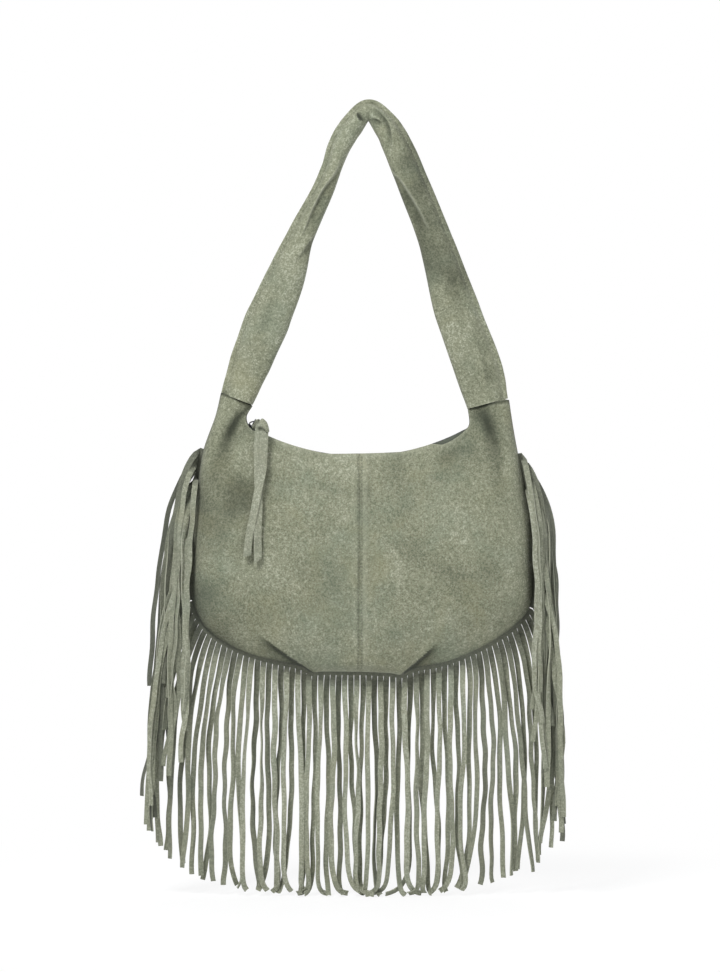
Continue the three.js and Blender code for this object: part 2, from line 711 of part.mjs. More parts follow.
// The route of a strip from the header: out along the seam's normal, then over into its lane and down
function stripRoute(side, strip, along, cuts) {
  const { point, outward, sign } = seamPlace(side, along);
  const start = point.clone().addScaledVector(outward, HEADER_SHOWING);
  const sideways = Math.max(0, readKeys(LANES[side], along) - HEADER_SHOWING * Math.abs(outward.x));
  const turn = sideways / clamp(Math.abs(outward.x), 0.15, 0.95);
  const hangsAtSide = along > SIDE_FRINGE_STARTS[side];
  const [least, more] = hangsAtSide ? STRIP_WAVES.side : STRIP_WAVES.hanging;
  const wave = least + more * scatter(strip, 1);
  const waveLength = STRIP_WAVES.shortest + STRIP_WAVES.spread * scatter(strip, 2);
  const phase = 2 * Math.PI * scatter(strip, 3);
  const rise = clamp((along - SIDE_FRINGE_STARTS[side]) / (FRINGE_REACH[side] - SIDE_FRINGE_STARTS[side]), 0, 1);
  const alternate = strip % 2 === 0 ? 1 : -1;
  let lane = 4 * alternate;
  if (hangsAtSide) {
    const number = Math.round((along - SIDE_FRINGE_STARTS[side]) / FRINGE_PITCH);
    const layer = (SIDE_LAYER_STRIDE * number) % SIDE_LAYERS;
    lane = -lerp(...SIDE_LAYER_NEAREST, rise) - SIDE_LAYER_PITCH * layer;
  } else if (along > SIDE_FRINGE_STARTS[side] - 80) {
    lane = 6 + 2.5 * alternate;
  }
  const length = FRINGE_LENGTH - HEADER_SHOWING + lerp(-4, 2, scatter(strip, 4));
  const stride = 2;
  const places = [];
  let z = start.z;
  let spare = 0;
  let travelled = 0;
  for (const cut of cuts) {
    const target = cut * length;
    while (travelled < target) {
      const step = Math.min(stride, target - travelled);
      const slope = turn > 0 ? (sideways / turn) * Math.exp(-travelled / turn) : 0;
      z -= step * Math.sqrt(Math.max(0.02, 1 - slope * slope));
      travelled += step;
    }
    const floor = SURFACE_Z + SUEDE;
    spare = Math.max(0, floor - z);
    const settle = 1 - Math.exp(-travelled / STRIP_SETTLES);
    const ramp = Math.min(1, travelled / 70);
    const ease = turn > 0 ? 1 - Math.exp(-travelled / turn) : 0;
    places.push(new THREE.Vector3(
      start.x + sign * sideways * ease + ramp * wave * Math.sin((2 * Math.PI * travelled) / waveLength + phase),
      lane * settle - spare * alternate,
      Math.max(z, floor),
    ));
  }
  return places;
}

// A length of fringe: the header's cells side by side, and a strip growing from the foot of each cell
function fringeGeometry(side, from, to) {
  const cuts = [0, 0.08, 0.2, 0.5, 0.88, 1];
  const points = [];
  const triangles = [];
  const count = Math.floor((to - from) / FRINGE_PITCH);
  const pitch = (to - from) / count;
  const half = SUEDE / 2;
  const { sign } = HALVES[side];
  const station = (along) => {
    const { point, outward } = seamPlace(side, along);
    const first = points.length;
    for (const reach of [-HEADER_IN_SEAM, HEADER_SHOWING]) {
      for (const y of [-half, half]) {
        points.push(point.clone().addScaledVector(outward, reach).setY(y));
      }
    }
    return first;
  };
  const joinHeader = (a, b) => {
    pushQuad(triangles, a, b, b + 1, a + 1);
    pushQuad(triangles, a + 2, b + 2, b, a);
    pushQuad(triangles, a + 1, b + 1, b + 3, a + 3);
  };
  let previous = -1;
  for (let i = 0; i < count; i++) {
    const along = from + (i + 0.5) * pitch;
    const strip = Math.round(along / FRINGE_PITCH) + (side === "left" ? 0 : 501);
    const a = station(along - STRIP_WIDTH / 2);
    const b = station(along + STRIP_WIDTH / 2);
    if (previous >= 0) {
      joinHeader(previous, a);
      pushQuad(triangles, previous + 2, previous + 3, a + 3, a + 2);
    } else {
      pushQuad(triangles, a, a + 1, a + 3, a + 2);
    }
    joinHeader(a, b);
    const route = stripRoute(side, strip, along, cuts);
    let ring = [a + 2, b + 2, b + 3, a + 3];
    for (let k = 1; k < route.length; k++) {
      const ahead = route[Math.min(k + 1, route.length - 1)].clone().sub(route[k - 1]).normalize();
      const across = new THREE.Vector3(ahead.z, 0, -ahead.x).normalize().multiplyScalar(-sign);
      const through = new THREE.Vector3().crossVectors(ahead, across).normalize();
      through.multiplyScalar(through.y < 0 ? -1 : 1);
      const next = [[-1, -1], [1, -1], [1, 1], [-1, 1]].map(([u, v]) => {
        points.push(route[k].clone()
          .addScaledVector(across, (u * STRIP_WIDTH) / 2)
          .addScaledVector(through, v * half));
        return points.length - 1;
      });
      for (let c = 0; c < ring.length; c++) {
        const d = (c + 1) % ring.length;
        pushQuad(triangles, ring[d], ring[c], next[c], next[d]);
      }
      ring = next;
    }
    pushQuad(triangles, ...ring.reverse());
    previous = b;
  }
  pushQuad(triangles, previous, previous + 2, previous + 3, previous + 1);
  return closedGeometry(points, triangles);
}

for (const side of ["left", "right"]) {
  const corner = SIDE_FRINGE_STARTS[side];
  addPiece("fringe_bottom_" + side, fringeGeometry(side, PLAY / 2, corner - PLAY / 2), CUT_EDGE_GREEN);
  addPiece("fringe_" + side, fringeGeometry(side, corner + PLAY / 2, FRINGE_REACH[side]), CUT_EDGE_GREEN);
}

export default bag;
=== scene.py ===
"""Looks of a fringed suede shoulder bag, built around its packed solids."""

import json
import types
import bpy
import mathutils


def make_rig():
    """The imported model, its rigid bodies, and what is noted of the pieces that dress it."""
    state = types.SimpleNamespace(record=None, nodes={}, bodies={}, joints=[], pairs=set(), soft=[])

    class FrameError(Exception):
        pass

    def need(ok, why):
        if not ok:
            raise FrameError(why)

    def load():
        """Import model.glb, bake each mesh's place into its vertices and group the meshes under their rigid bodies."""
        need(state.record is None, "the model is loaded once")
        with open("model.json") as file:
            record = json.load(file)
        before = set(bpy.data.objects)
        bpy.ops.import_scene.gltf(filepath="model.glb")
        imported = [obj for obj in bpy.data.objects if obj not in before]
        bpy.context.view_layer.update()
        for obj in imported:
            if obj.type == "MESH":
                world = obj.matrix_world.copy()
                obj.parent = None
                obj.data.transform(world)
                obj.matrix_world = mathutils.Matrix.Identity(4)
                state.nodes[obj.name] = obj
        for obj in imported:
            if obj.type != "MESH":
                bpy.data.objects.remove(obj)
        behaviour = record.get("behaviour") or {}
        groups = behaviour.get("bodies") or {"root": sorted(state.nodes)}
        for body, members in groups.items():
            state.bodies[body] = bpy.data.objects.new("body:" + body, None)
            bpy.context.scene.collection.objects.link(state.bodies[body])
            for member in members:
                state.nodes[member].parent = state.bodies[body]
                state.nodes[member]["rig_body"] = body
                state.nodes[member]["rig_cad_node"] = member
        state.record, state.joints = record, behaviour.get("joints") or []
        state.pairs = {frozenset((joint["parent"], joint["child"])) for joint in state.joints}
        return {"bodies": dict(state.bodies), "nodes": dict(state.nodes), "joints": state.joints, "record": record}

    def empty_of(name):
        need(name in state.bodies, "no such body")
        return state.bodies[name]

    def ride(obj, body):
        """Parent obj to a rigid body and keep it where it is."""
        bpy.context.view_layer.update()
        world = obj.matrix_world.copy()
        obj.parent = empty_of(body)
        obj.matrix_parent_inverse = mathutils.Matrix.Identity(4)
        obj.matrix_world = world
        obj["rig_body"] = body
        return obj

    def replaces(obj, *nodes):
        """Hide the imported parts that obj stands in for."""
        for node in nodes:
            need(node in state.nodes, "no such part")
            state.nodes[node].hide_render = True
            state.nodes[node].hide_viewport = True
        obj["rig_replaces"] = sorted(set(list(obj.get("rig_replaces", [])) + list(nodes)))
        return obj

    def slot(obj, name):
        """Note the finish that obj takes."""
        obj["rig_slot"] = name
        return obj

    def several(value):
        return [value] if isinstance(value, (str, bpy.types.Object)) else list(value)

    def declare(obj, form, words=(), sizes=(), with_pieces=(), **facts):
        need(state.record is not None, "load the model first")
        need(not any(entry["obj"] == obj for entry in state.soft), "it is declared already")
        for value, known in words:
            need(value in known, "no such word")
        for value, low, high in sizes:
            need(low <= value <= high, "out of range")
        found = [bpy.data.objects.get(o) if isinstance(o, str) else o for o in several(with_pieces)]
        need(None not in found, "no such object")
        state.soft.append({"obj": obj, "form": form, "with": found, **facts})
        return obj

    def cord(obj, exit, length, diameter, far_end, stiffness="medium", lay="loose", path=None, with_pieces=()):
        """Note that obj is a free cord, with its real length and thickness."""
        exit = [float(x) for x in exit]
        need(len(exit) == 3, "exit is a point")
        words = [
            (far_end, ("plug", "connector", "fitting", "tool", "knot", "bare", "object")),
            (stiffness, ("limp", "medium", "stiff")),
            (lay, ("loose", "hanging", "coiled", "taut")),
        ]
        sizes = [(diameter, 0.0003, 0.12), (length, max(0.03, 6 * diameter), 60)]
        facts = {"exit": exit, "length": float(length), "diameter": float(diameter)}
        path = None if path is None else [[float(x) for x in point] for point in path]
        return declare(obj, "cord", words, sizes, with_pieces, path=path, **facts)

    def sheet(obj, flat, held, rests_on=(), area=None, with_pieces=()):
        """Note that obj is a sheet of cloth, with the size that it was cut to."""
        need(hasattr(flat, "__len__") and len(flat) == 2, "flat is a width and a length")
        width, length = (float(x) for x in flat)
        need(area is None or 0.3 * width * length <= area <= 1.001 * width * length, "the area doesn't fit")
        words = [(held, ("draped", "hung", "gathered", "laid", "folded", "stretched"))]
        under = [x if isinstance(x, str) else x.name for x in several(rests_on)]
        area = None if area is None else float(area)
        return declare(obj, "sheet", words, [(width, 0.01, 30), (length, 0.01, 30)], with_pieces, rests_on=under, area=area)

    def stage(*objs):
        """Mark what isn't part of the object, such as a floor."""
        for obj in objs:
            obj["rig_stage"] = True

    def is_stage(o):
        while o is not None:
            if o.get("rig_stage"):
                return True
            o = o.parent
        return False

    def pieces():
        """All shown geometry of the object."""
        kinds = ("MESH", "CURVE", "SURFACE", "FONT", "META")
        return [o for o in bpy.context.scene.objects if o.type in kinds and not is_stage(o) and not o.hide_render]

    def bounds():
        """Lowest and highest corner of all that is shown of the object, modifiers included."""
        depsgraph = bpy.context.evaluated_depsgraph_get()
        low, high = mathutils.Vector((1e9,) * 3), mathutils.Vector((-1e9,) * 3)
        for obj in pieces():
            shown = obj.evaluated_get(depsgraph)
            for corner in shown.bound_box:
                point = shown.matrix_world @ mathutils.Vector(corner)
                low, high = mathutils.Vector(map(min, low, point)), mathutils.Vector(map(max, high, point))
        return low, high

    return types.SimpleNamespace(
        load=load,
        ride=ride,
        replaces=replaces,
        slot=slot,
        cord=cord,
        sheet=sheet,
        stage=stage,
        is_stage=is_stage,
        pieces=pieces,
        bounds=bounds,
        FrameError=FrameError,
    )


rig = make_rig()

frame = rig.load()
CAD_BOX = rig.bounds()

import json
import functools
import math

import bpy
import numpy as np
from mathutils import Vector

bl_info = {
    "name": "Fringed suede bag",
    "version": (1, 0, 0),
    "blender": (4, 5, 0),
    "location": "3D View > Sidebar > Suede bag",
    "description": "Builds the suede, stitching, fringe, zip and stage of a fringed shoulder bag",
    "category": "Object",
}

MM = 0.001
BAG = "bag"
COOL_NAP = (0.15, 0.2, 0.15)
WARM_NAP = (0.26, 0.25, 0.14)
# Colour of the deepest painted shade, which the suede darkens towards where its painted tone is low
DEEP_SHADE = (0.03, 0.034, 0.024)
CUT_NAP = (0.3, 0.31, 0.27)

# Features of the suede's nap, to the metre
CLOUDS = 24
COOL_CLOUDS = 17
WARM_CLOUDS = 13
BLOTCHES = 260
SPECKS = 560
HAIRS = 1300
# Features of the other finishes, to the metre
THREAD_TWISTS = 900.0
RUBBED_PATCHES = 220
SCRATCHES = 900
TAPE_WARP = 480.0
TAPE_WEFT = 360.0
LINING_THREADS = 420.0
LINING_SLUBS = 60

# Cut of the body, in millimetres seen from the front: mouth and seam run from the centre seam out to a neck
CENTRE_SEAM_X = -9.4
LEFT_MOUTH = [
    (CENTRE_SEAM_X, -334.9), (-45.7, -334.9), (-84, -330.4), (-105.4, -319.4),
    (-119.9, -308.4), (-123, -298.1), (-116.9, -287.4),
]
LEFT_SEAM = [
    (CENTRE_SEAM_X, -553), (-49.4, -553), (-56.9, -553.9), (-66.4, -548.4), (-101.7, -540.4),
    (-132.4, -530.2), (-162.9, -510.1), (-177.4, -481.4), (-178.4, -445.4), (-173.4, -383.4),
    (-166.4, -333.4), (-153.6, -296.4), (-148.4, -274.4),
]
RIGHT_MOUTH = [
    (CENTRE_SEAM_X, -334.9), (16.6, -334.1), (47.1, -331.8), (77.6, -324.2),
    (93.6, -313.6), (99.9, -305.8), (98.4, -290.4),
]
RIGHT_SEAM = [
    (CENTRE_SEAM_X, -553), (20.6, -554.4), (31.6, -555.9), (43.6, -550.4), (76.3, -543.4),
    (118.3, -525.4), (147, -505.4), (160.4, -487.9), (163.6, -445.1), (162.6, -406.4),
    (155.6, -371.4), (144.3, -311.9), (139.6, -281.4),
]
SUEDE = 1.2
PLAY = 0.3
BELLY_DEPTH = 34
NECK_DEPTH = 8
MOUTH_HALF_GAP = 9
BELLY_TO_NECK = (0.5, 1)
MOUTH_CLOSES = (0.88, 1)
SWELL_PEAK = 0.76
ZIP_RADIUS = 223
ZIP_CENTRE_Z = -114.9
MOUTH_OVER_ZIP = 0.9
# Where the front's mouth is drawn up over the zip: from x to x at its inner end and at its outer end
MOUTH_RAISED_LEFT = ((30, 60), (-118, -108))
MOUTH_RAISED_RIGHT = ((20, 44), (60, 74))
PANEL_GRID = (201, 141)
ROWS_CROWD_AT_SEAM = 1.35
RIM_PALE_WITHIN = 44
# Paleness of the mouth's edge and of the seam's lip: rubbed, with a painted highlight
MOUTH_RUB_AND_HIGHLIGHT = 0.46
SEAM_RUB_AND_HIGHLIGHT = 0.65
INSIDE_WEAR = 0.1
# Tone of the suede's inner face: painted dark, as shade inside the bag
INSIDE_SHADE_TONE = 0.2

# The skin beside the centre seam: how far from it, over what width and how high it rises
SEAM_PROFILE = ((0, 0.6, -0.8), (4.5, 2.4, 0.7), (1.9, 0.6, -0.4))
# Waves left in the hanging suede: their pitch, their seed and their height
SKIN_WAVES = ((34, 1, 0.8), (11, 3, 0.3))
# Clouds in its tone, given in the same way
BODY_CLOUDS = ((60, 5, 0.16), (24, 15, 0.1))
HANDLE_CLOUDS = ((34, 6, 0.14), (14, 16, 0.08))

# Pleats: a fold line from inside the panel to its tip on the seam
PLEAT_RISE = 4
PLEAT_PLUMPNESS = 1.15
PLEAT_BOW = 2.0
PLEAT_EDGE_WIDTH = (7.0, 1.6)
PLEAT_FADES_OVER = (26, 70)
PLEATS = [
    {"inside": (-115.4, -515.4), "tip": (-56.4, -554.1), "side": -1},
    {"inside": (74.2, -522.1), "tip": (31.6, -555.9), "side": 1},
]

# Handle stations: x, z, width across and thickness
HANDLE = [
    (-132.6, -280.6, 33.6, 19), (-119.9, -246.4, 41.1, 18), (-102.2, -202.5, 45.2, 17),
    (-84.4, -159.9, 39.8, 17), (-69.9, -119.9, 27.5, 18), (-46.4, -71.4, 21.5, 19),
    (-37.9, -49.4, 20, 19), (-30.1, -27.7, 23, 20), (-18.5, -8.4, 24, 21), (-0.9, 9.6, 19, 21),
    (17.5, -8.1, 27, 20), (28.4, -28.2, 30, 18), (43.8, -65, 31.9, 17), (66, -121.6, 33.6, 17),
    (87.2, -190.3, 46, 17), (109.8, -252.9, 48, 18), (118.3, -285.1, 42.3, 19),
]
HANDLE_FLANGE = 5
HANDLE_GRID = (540, 150)
HANDLE_STITCH_INSET = 4.2
SLEEVE_TURNED_IN = (0.92, 0.6, 0.92)
SECTION_PASSES = 6
HANDLE_SWAY = 0.012

# How the neck goes on inside the handle's end: reach, share of its width and share of its depth
NECK_TONGUE = ((1.5, 0.8, 0.7), (5, 0.66, 0.55), (9, 0.62, 0.5))

# Fringe: measured along the seam from the bottom of the centre seam
FRINGE_LENGTH = 240
FRINGE_PITCH = 5.9
STRIP_WIDTH = 5.5
RIGHT_STRIPS_FROM = 501
HEADER_IN_SEAM = 8
HEADER_SHOWING = 3.6
HEADER_ROWS = (-HEADER_IN_SEAM, 2.5, HEADER_SHOWING)
SEAM_READ_OVER = 14
FRINGE_REACH = {"left": 349, "right": 346}
SIDE_FRINGE_STARTS = {"left": 196, "right": 190}
TIP_CURL = 16
STRIP_SETTLES = 8
STRIP_LENGTH_VARIES = (-4, 2)
SIDE_STRIP_DRIFT = 7
BOTTOM_STRIP_DRIFT = 15
STRIP_TURNS_OVER = 60
STRIP_LONG_WAVE = (130, 90)
STRIP_SHORT_WAVE = (38, 22)
STRIP_END_SWAY = 14
STRIP_END = 70
STRIP_RESTS_OVER = 8.0
BEFORE_CORNER = 80
LANE_BEFORE_CORNER = (6, 2.5)
LANE_BELOW = 4
SIDE_LAYERS = 8
SIDE_LAYER_STRIDE = 3
SIDE_LAYER_PITCH = 2.5
SIDE_LAYER_NEAREST = (3, 8)
# Painted shadow of the body over the uncut band and the strips' tops: its tone, and the length down a strip over which
# it fades
HEADER_SHADOW_TONE = 0.14
HEADER_SHADOW_FADES = 17
# Tones of the strips: those in front paler, those behind painted darker as shade; on the sides from the deepest layer
# to the front one
FRONT_STRIP_TONE = 0.72
REAR_STRIP_TONE = 0.42
SIDE_STRIP_TONES = (-0.26, 0.64)
SIDE_LANES_DEEP = 24
CUT_WEAR = (0.0, 0.0, 0.9, 0.0, 0.0, 0.9)
LEAST_BEND = 5
SIDE_STRIPS_BESIDE_EDGE = {"left": (-2.2, 32), "right": (-2.2, 19)}
SIDE_STRIPS_DRAW_IN = (215, 285)
LANES = {
    "left": [(0, 0), (100, 2), (150, 24), (196, 43), (232, 45), (260, 34), (294, 22), (349, 19)],
    "right": [(0, 0), (100, 1), (150, 18), (190, 28), (232, 26), (270, 21), (310, 18), (346, 16)],
}


def millimetres(name, text, value):
    """A length that shows in the sidebar."""
    return bpy.props.FloatProperty(name=name, description=text, default=value * MM, unit="LENGTH")


def tint(name, text, value):
    """A colour, as linear light, that shows in the sidebar."""
    return bpy.props.FloatVectorProperty(name=name, description=text, subtype="COLOR", default=value)


class BagSizes(bpy.types.PropertyGroup):
    """Sizes that a user would change without recutting the bag."""

    stitch_length: millimetres("Stitch length", "Length of one topstitch", 2.6)
    stitch_gap: millimetres("Stitch gap", "Space between two topstitches", 0.9)
    thread: millimetres("Thread", "Diameter of the sewing thread", 0.7)
    seam_rows: millimetres("Rows from the seam", "How far each topstitch row lies from the centre seam", 1.9)
    nap_depth: millimetres("Nap depth", "Height of the suede's nap in its relief", 0.25)
    strip_steps: bpy.props.IntProperty(
        name="Strip steps", description="Steps along each strip of the fringe", default=44, min=8)


class BagColours(bpy.types.PropertyGroup):
    """Colours of the finishes."""

    suede: tint("Suede", "Middle tone of the suede", (0.225, 0.236, 0.162))
    # The dark tone is also the colour that painted shade goes towards, and the pale tone also that of painted
    # highlights and painted light
    suede_dark: tint("Suede brushed dark", "Where the nap lies away from the light", (0.125, 0.136, 0.09))
    suede_pale: tint("Suede rubbed pale", "Where the nap is worn or brushed up", (0.4, 0.415, 0.32))
    thread: tint("Thread", "Sewing thread", (0.085, 0.093, 0.065))
    metal: tint("Metal", "Gunmetal of the ring and slider", (0.12, 0.12, 0.125))
    tape: tint("Zip tape", "Woven tape of the zip", (0.075, 0.085, 0.065))
    lining: tint("Lining", "Lining cloth", (0.16, 0.145, 0.11))


def sizes():
    return bpy.context.scene.bag_sizes


def colours():
    return bpy.context.scene.bag_colours


class Shade:
    """A node socket that can be used in sums, which add the Math nodes they need."""

    def __init__(self, tree, socket):
        self.tree = tree
        self.socket = socket

    def _math(self, operation, first, second):
        node = self.tree.nodes.new("ShaderNodeMath")
        node.operation = operation
        for place, value in enumerate((first, second)):
            if isinstance(value, Shade):
                self.tree.links.new(value.socket, node.inputs[place])
            else:
                node.inputs[place].default_value = value
        return Shade(self.tree, node.outputs[0])

    def __add__(self, other):
        return self._math("ADD", self, other)

    __radd__ = __add__

    def __sub__(self, other):
        return self._math("SUBTRACT", self, other)

    def __rsub__(self, other):
        return self._math("SUBTRACT", other, self)

    def __mul__(self, other):
        return self._math("MULTIPLY", self, other)

    __rmul__ = __mul__


class Finish:
    """A material being made: its tree, its shader and short ways to add nodes."""

    def __init__(self, name):
        self.material = bpy.data.materials.new(name)
        self.material.use_nodes = True
        self.tree = self.material.node_tree
        self.tree.nodes.clear()
        self.output = self.tree.nodes.new("ShaderNodeOutputMaterial")
        self.shader = self.tree.nodes.new("ShaderNodeBsdfPrincipled")
        self.tree.links.new(self.shader.outputs[0], self.output.inputs[0])

    def node(self, kind, settings=(), inputs=(), output=0):
        """Adds a node of any kind, with its settings first and then the values or links of its sockets."""
        node = self.tree.nodes.new(kind)
        for key, value in dict(settings).items():
            setattr(node, key, value)
        for key, value in dict(inputs).items():
            self.feed(node, key, value)
        return Shade(self.tree, node.outputs[output])

    def feed(self, node, key, value):
        if isinstance(value, Shade):
            self.tree.links.new(value.socket, node.inputs[key])
            return
        if isinstance(value, tuple) and len(value) == 3 and len(node.inputs[key].default_value) == 4:
            value = (*value, 1)
        node.inputs[key].default_value = value

    def set(self, **values):
        """Sets sockets of the shader; an underscore in a name stands for a space."""
        for key, value in values.items():
            self.feed(self.shader, key.replace("_", " "), value)

    def place(self):
        return self.node("ShaderNodeTexCoord", output=3)

    def grain(self, scale, detail=2.0, rough=0.5, vector=None, distortion=0.0):
        """Noise at a scale given as features per metre, from 0 to 1."""
        inputs = {"Vector": vector or self.place(), "Scale": scale, "Detail": detail,
                  "Roughness": rough, "Distortion": distortion}
        return self.node("ShaderNodeTexNoise", {}, inputs)

    def between(self, value, low, high, smooth=True):
        """0 below low and 1 above high."""
        kind = "SMOOTHSTEP" if smooth else "LINEAR"
        return self.node(
            "ShaderNodeMapRange", {"interpolation_type": kind},
            {"Value": value, "From Min": low, "From Max": high})

    def mix(self, share, first, second):
        """Mixes two colours."""
        return self.node("ShaderNodeMix", {"data_type": "RGBA"}, {0: share, 6: first, 7: second}, output=2)

    def relief(self, height, distance, strength=1.0):
        return self.node("ShaderNodeBump", {}, {"Height": height, "Distance": distance, "Strength": strength})

    def painted(self, layer):
        """A value that the mesh carries for each of its points or faces."""
        settings = {"attribute_name": layer, "attribute_type": "GEOMETRY"}
        return self.node("ShaderNodeAttribute", settings, output=2)

    def threads(self, direction, scale, distortion=0.0):
        """Even bands, as of threads laid side by side."""
        settings = {"wave_type": "BANDS", "bands_direction": direction}
        inputs = {"Vector": self.place(), "Scale": scale, "Distortion": distortion}
        return self.node("ShaderNodeTexWave", settings, inputs)

    def tones(self, share, colour, dark, pale):
        """One colour, from a dark tone of it to a pale one."""
        return self.mix(share, tuple(c * dark for c in colour), tuple(c * pale for c in colour))


def suede_finish(name, streaks=False):
    """Napped suede: cloudy tones where the nap is brushed, a fine speckle, paler where it is rubbed."""
    finish = Finish(name)
    tones = colours()
    place = finish.place()
    along = place
    if streaks:
        along = finish.node("ShaderNodeMapping", {}, {"Vector": place, "Scale": (1.0, 1.0, 0.25)})
    clouds = finish.grain(CLOUDS, 4, 0.6, along, 0.4)
    blotches = finish.between(finish.grain(BLOTCHES, 2, 0.5, place), 0.36, 0.64)
    speckle = finish.between(finish.grain(SPECKS, 2, 0.6, place), 0.36, 0.64)
    hairs = finish.between(finish.grain(HAIRS, 2, 0.5, place), 0.34, 0.66)
    tone = clouds * 0.5 + blotches * 0.2 + speckle * 0.42 + hairs * 0.26 - 0.19
    # The mesh's tone: clouds of the nap, with painted shade in hollows, creases, under edges and on strips behind, and
    # painted light on swells and on one side
    laid = finish.painted("tone")
    tone = tone + (laid - 0.5) * 0.7
    base = finish.mix(finish.between(tone, 0.0, 0.5), tuple(tones.suede_dark), tuple(tones.suede))
    base = finish.mix(finish.between(tone, 0.5, 1.0), base, tuple(tones.suede_pale))
    cool = finish.between(finish.grain(COOL_CLOUDS, 3, 0.6, place), 0.45, 0.75) * 0.3
    base = finish.mix(cool, base, COOL_NAP)
    warm = finish.between(finish.grain(WARM_CLOUDS, 3, 0.6, place, 1.0), 0.5, 0.78) * 0.3
    base = finish.mix(warm, base, WARM_NAP)
    # Painted shade: where the painted tone falls under 0.42 the suede darkens towards the deepest shade colour, mostly
    # in painted hollows, shadows and strips behind, at times in a dark cloud of the nap
    deep = finish.between(0.42 - laid, 0.0, 0.42, smooth=False) * 0.85
    base = finish.mix(deep, base, DEEP_SHADE)
    if streaks:
        base = finish.mix(0.22, base, CUT_NAP)
    # Paler where the mesh's wear attribute says: cut and rubbed edges, and painted highlights on the folds' lips, on
    # ridges and along the mouth's and seam's edges
    base = finish.mix(finish.painted("wear_and_highlight") * 0.7, base, tuple(tones.suede_pale))
    height = speckle * 0.6 + hairs * 0.4
    finish.set(Base_Color=base, Roughness=speckle * 0.12 + 0.84)
    finish.set(Normal=finish.relief(height, sizes().nap_depth * 1.6, 0.9))
    finish.set(Specular_IOR_Level=0.12, Sheen_Weight=0.12, Sheen_Roughness=0.45)
    return finish.material


def thread_finish():
    """Twisted sewing thread."""
    finish = Finish("Thread")
    ply = finish.threads("DIAGONAL", THREAD_TWISTS, 1.0)
    finish.set(Base_Color=finish.tones(ply * 0.6, colours().thread, 1, 1.6), Roughness=0.7)
    finish.set(Normal=finish.relief(ply, 0.1 * MM))
    return finish.material


def metal_finish():
    """Dark gunmetal, rubbed brighter in places."""
    finish = Finish("Gunmetal")
    rub = finish.between(finish.grain(RUBBED_PATCHES, 4, 0.6), 0.4, 0.75)
    base = finish.tones(rub * 0.7, colours().metal, 1, 2.4)
    finish.set(Base_Color=base, Metallic=1.0, Roughness=0.42 - rub * 0.14)
    finish.set(Normal=finish.relief(finish.grain(SCRATCHES, 2, 0.5), 0.02 * MM))
    return finish.material


def tape_finish():
    """Woven tape with a fine herringbone."""
    finish = Finish("Zip tape")
    weave = finish.threads("Y", TAPE_WARP) * 0.5 + finish.threads("DIAGONAL", TAPE_WEFT, 0.6) * 0.5
    finish.set(Base_Color=finish.tones(weave, colours().tape, 0.7, 1.5), Roughness=0.85)
    finish.set(Normal=finish.relief(weave, 0.15 * MM))
    return finish.material


def lining_finish():
    """Plain woven lining cloth."""
    finish = Finish("Lining cloth")
    weave = finish.threads("X", LINING_THREADS) * finish.threads("Z", LINING_THREADS)
    tone = weave * 0.5 + finish.grain(LINING_SLUBS, 3, 0.6) * 0.4
    finish.set(Base_Color=finish.tones(tone, colours().lining, 0.75, 1.4), Roughness=0.8)
    finish.set(Normal=finish.relief(weave, 0.1 * MM))
    return finish.material


FINISHES = {}


def finish_of(name):
    """Makes each finish once, when it is first needed."""
    makers = {
        "suede": lambda: suede_finish("Suede"),
        "fringe": lambda: suede_finish("Fringe suede", streaks=True),
        "thread": thread_finish,
        "metal": metal_finish,
        "tape": tape_finish,
        "lining": lining_finish,
    }
    if name not in FINISHES:
        FINISHES[name] = makers[name]()
    return FINISHES[name]


def scatter(strip, trait):
    """The same scatter for the same strip every time, from 0 to 1."""
    wave = math.sin(strip * 12.9898 + trait * 78.233) * 43758.5453
    return wave - math.floor(wave)


def smoothstep(value, low, high):
    share = np.clip((value - low) / (high - low), 0, 1)
    return share * share * (3 - 2 * share)


def lerp(first, second, share):
    return first + (second - first) * share


def hump(away, width):
    """1 where away is 0, and falling off smoothly over the width on both sides."""
    return np.exp(-((away / width) ** 2))


def unit(vectors):
    """Directions of length 1."""
    return vectors / np.maximum(np.linalg.norm(vectors, axis=-1, keepdims=True), 1e-9)


def reach_along(points):
    """How far along a line each of its points lies."""
    return np.concatenate([[0], np.cumsum(np.linalg.norm(np.diff(points, axis=0), axis=1))])


def read_along(at, reach, points):
    """Places between the points of a line, where the reach comes to each value in at."""
    return np.stack([np.interp(at, reach, column) for column in np.asarray(points).T], axis=-1)


def smoothed(values, passes):
    """A row of values with its steps evened out, its two ends kept."""
    values = np.array(values, float)
    for _ in range(passes):
        values[1:-1] = (values[:-2] + 2 * values[1:-1] + values[2:]) / 4
    return values


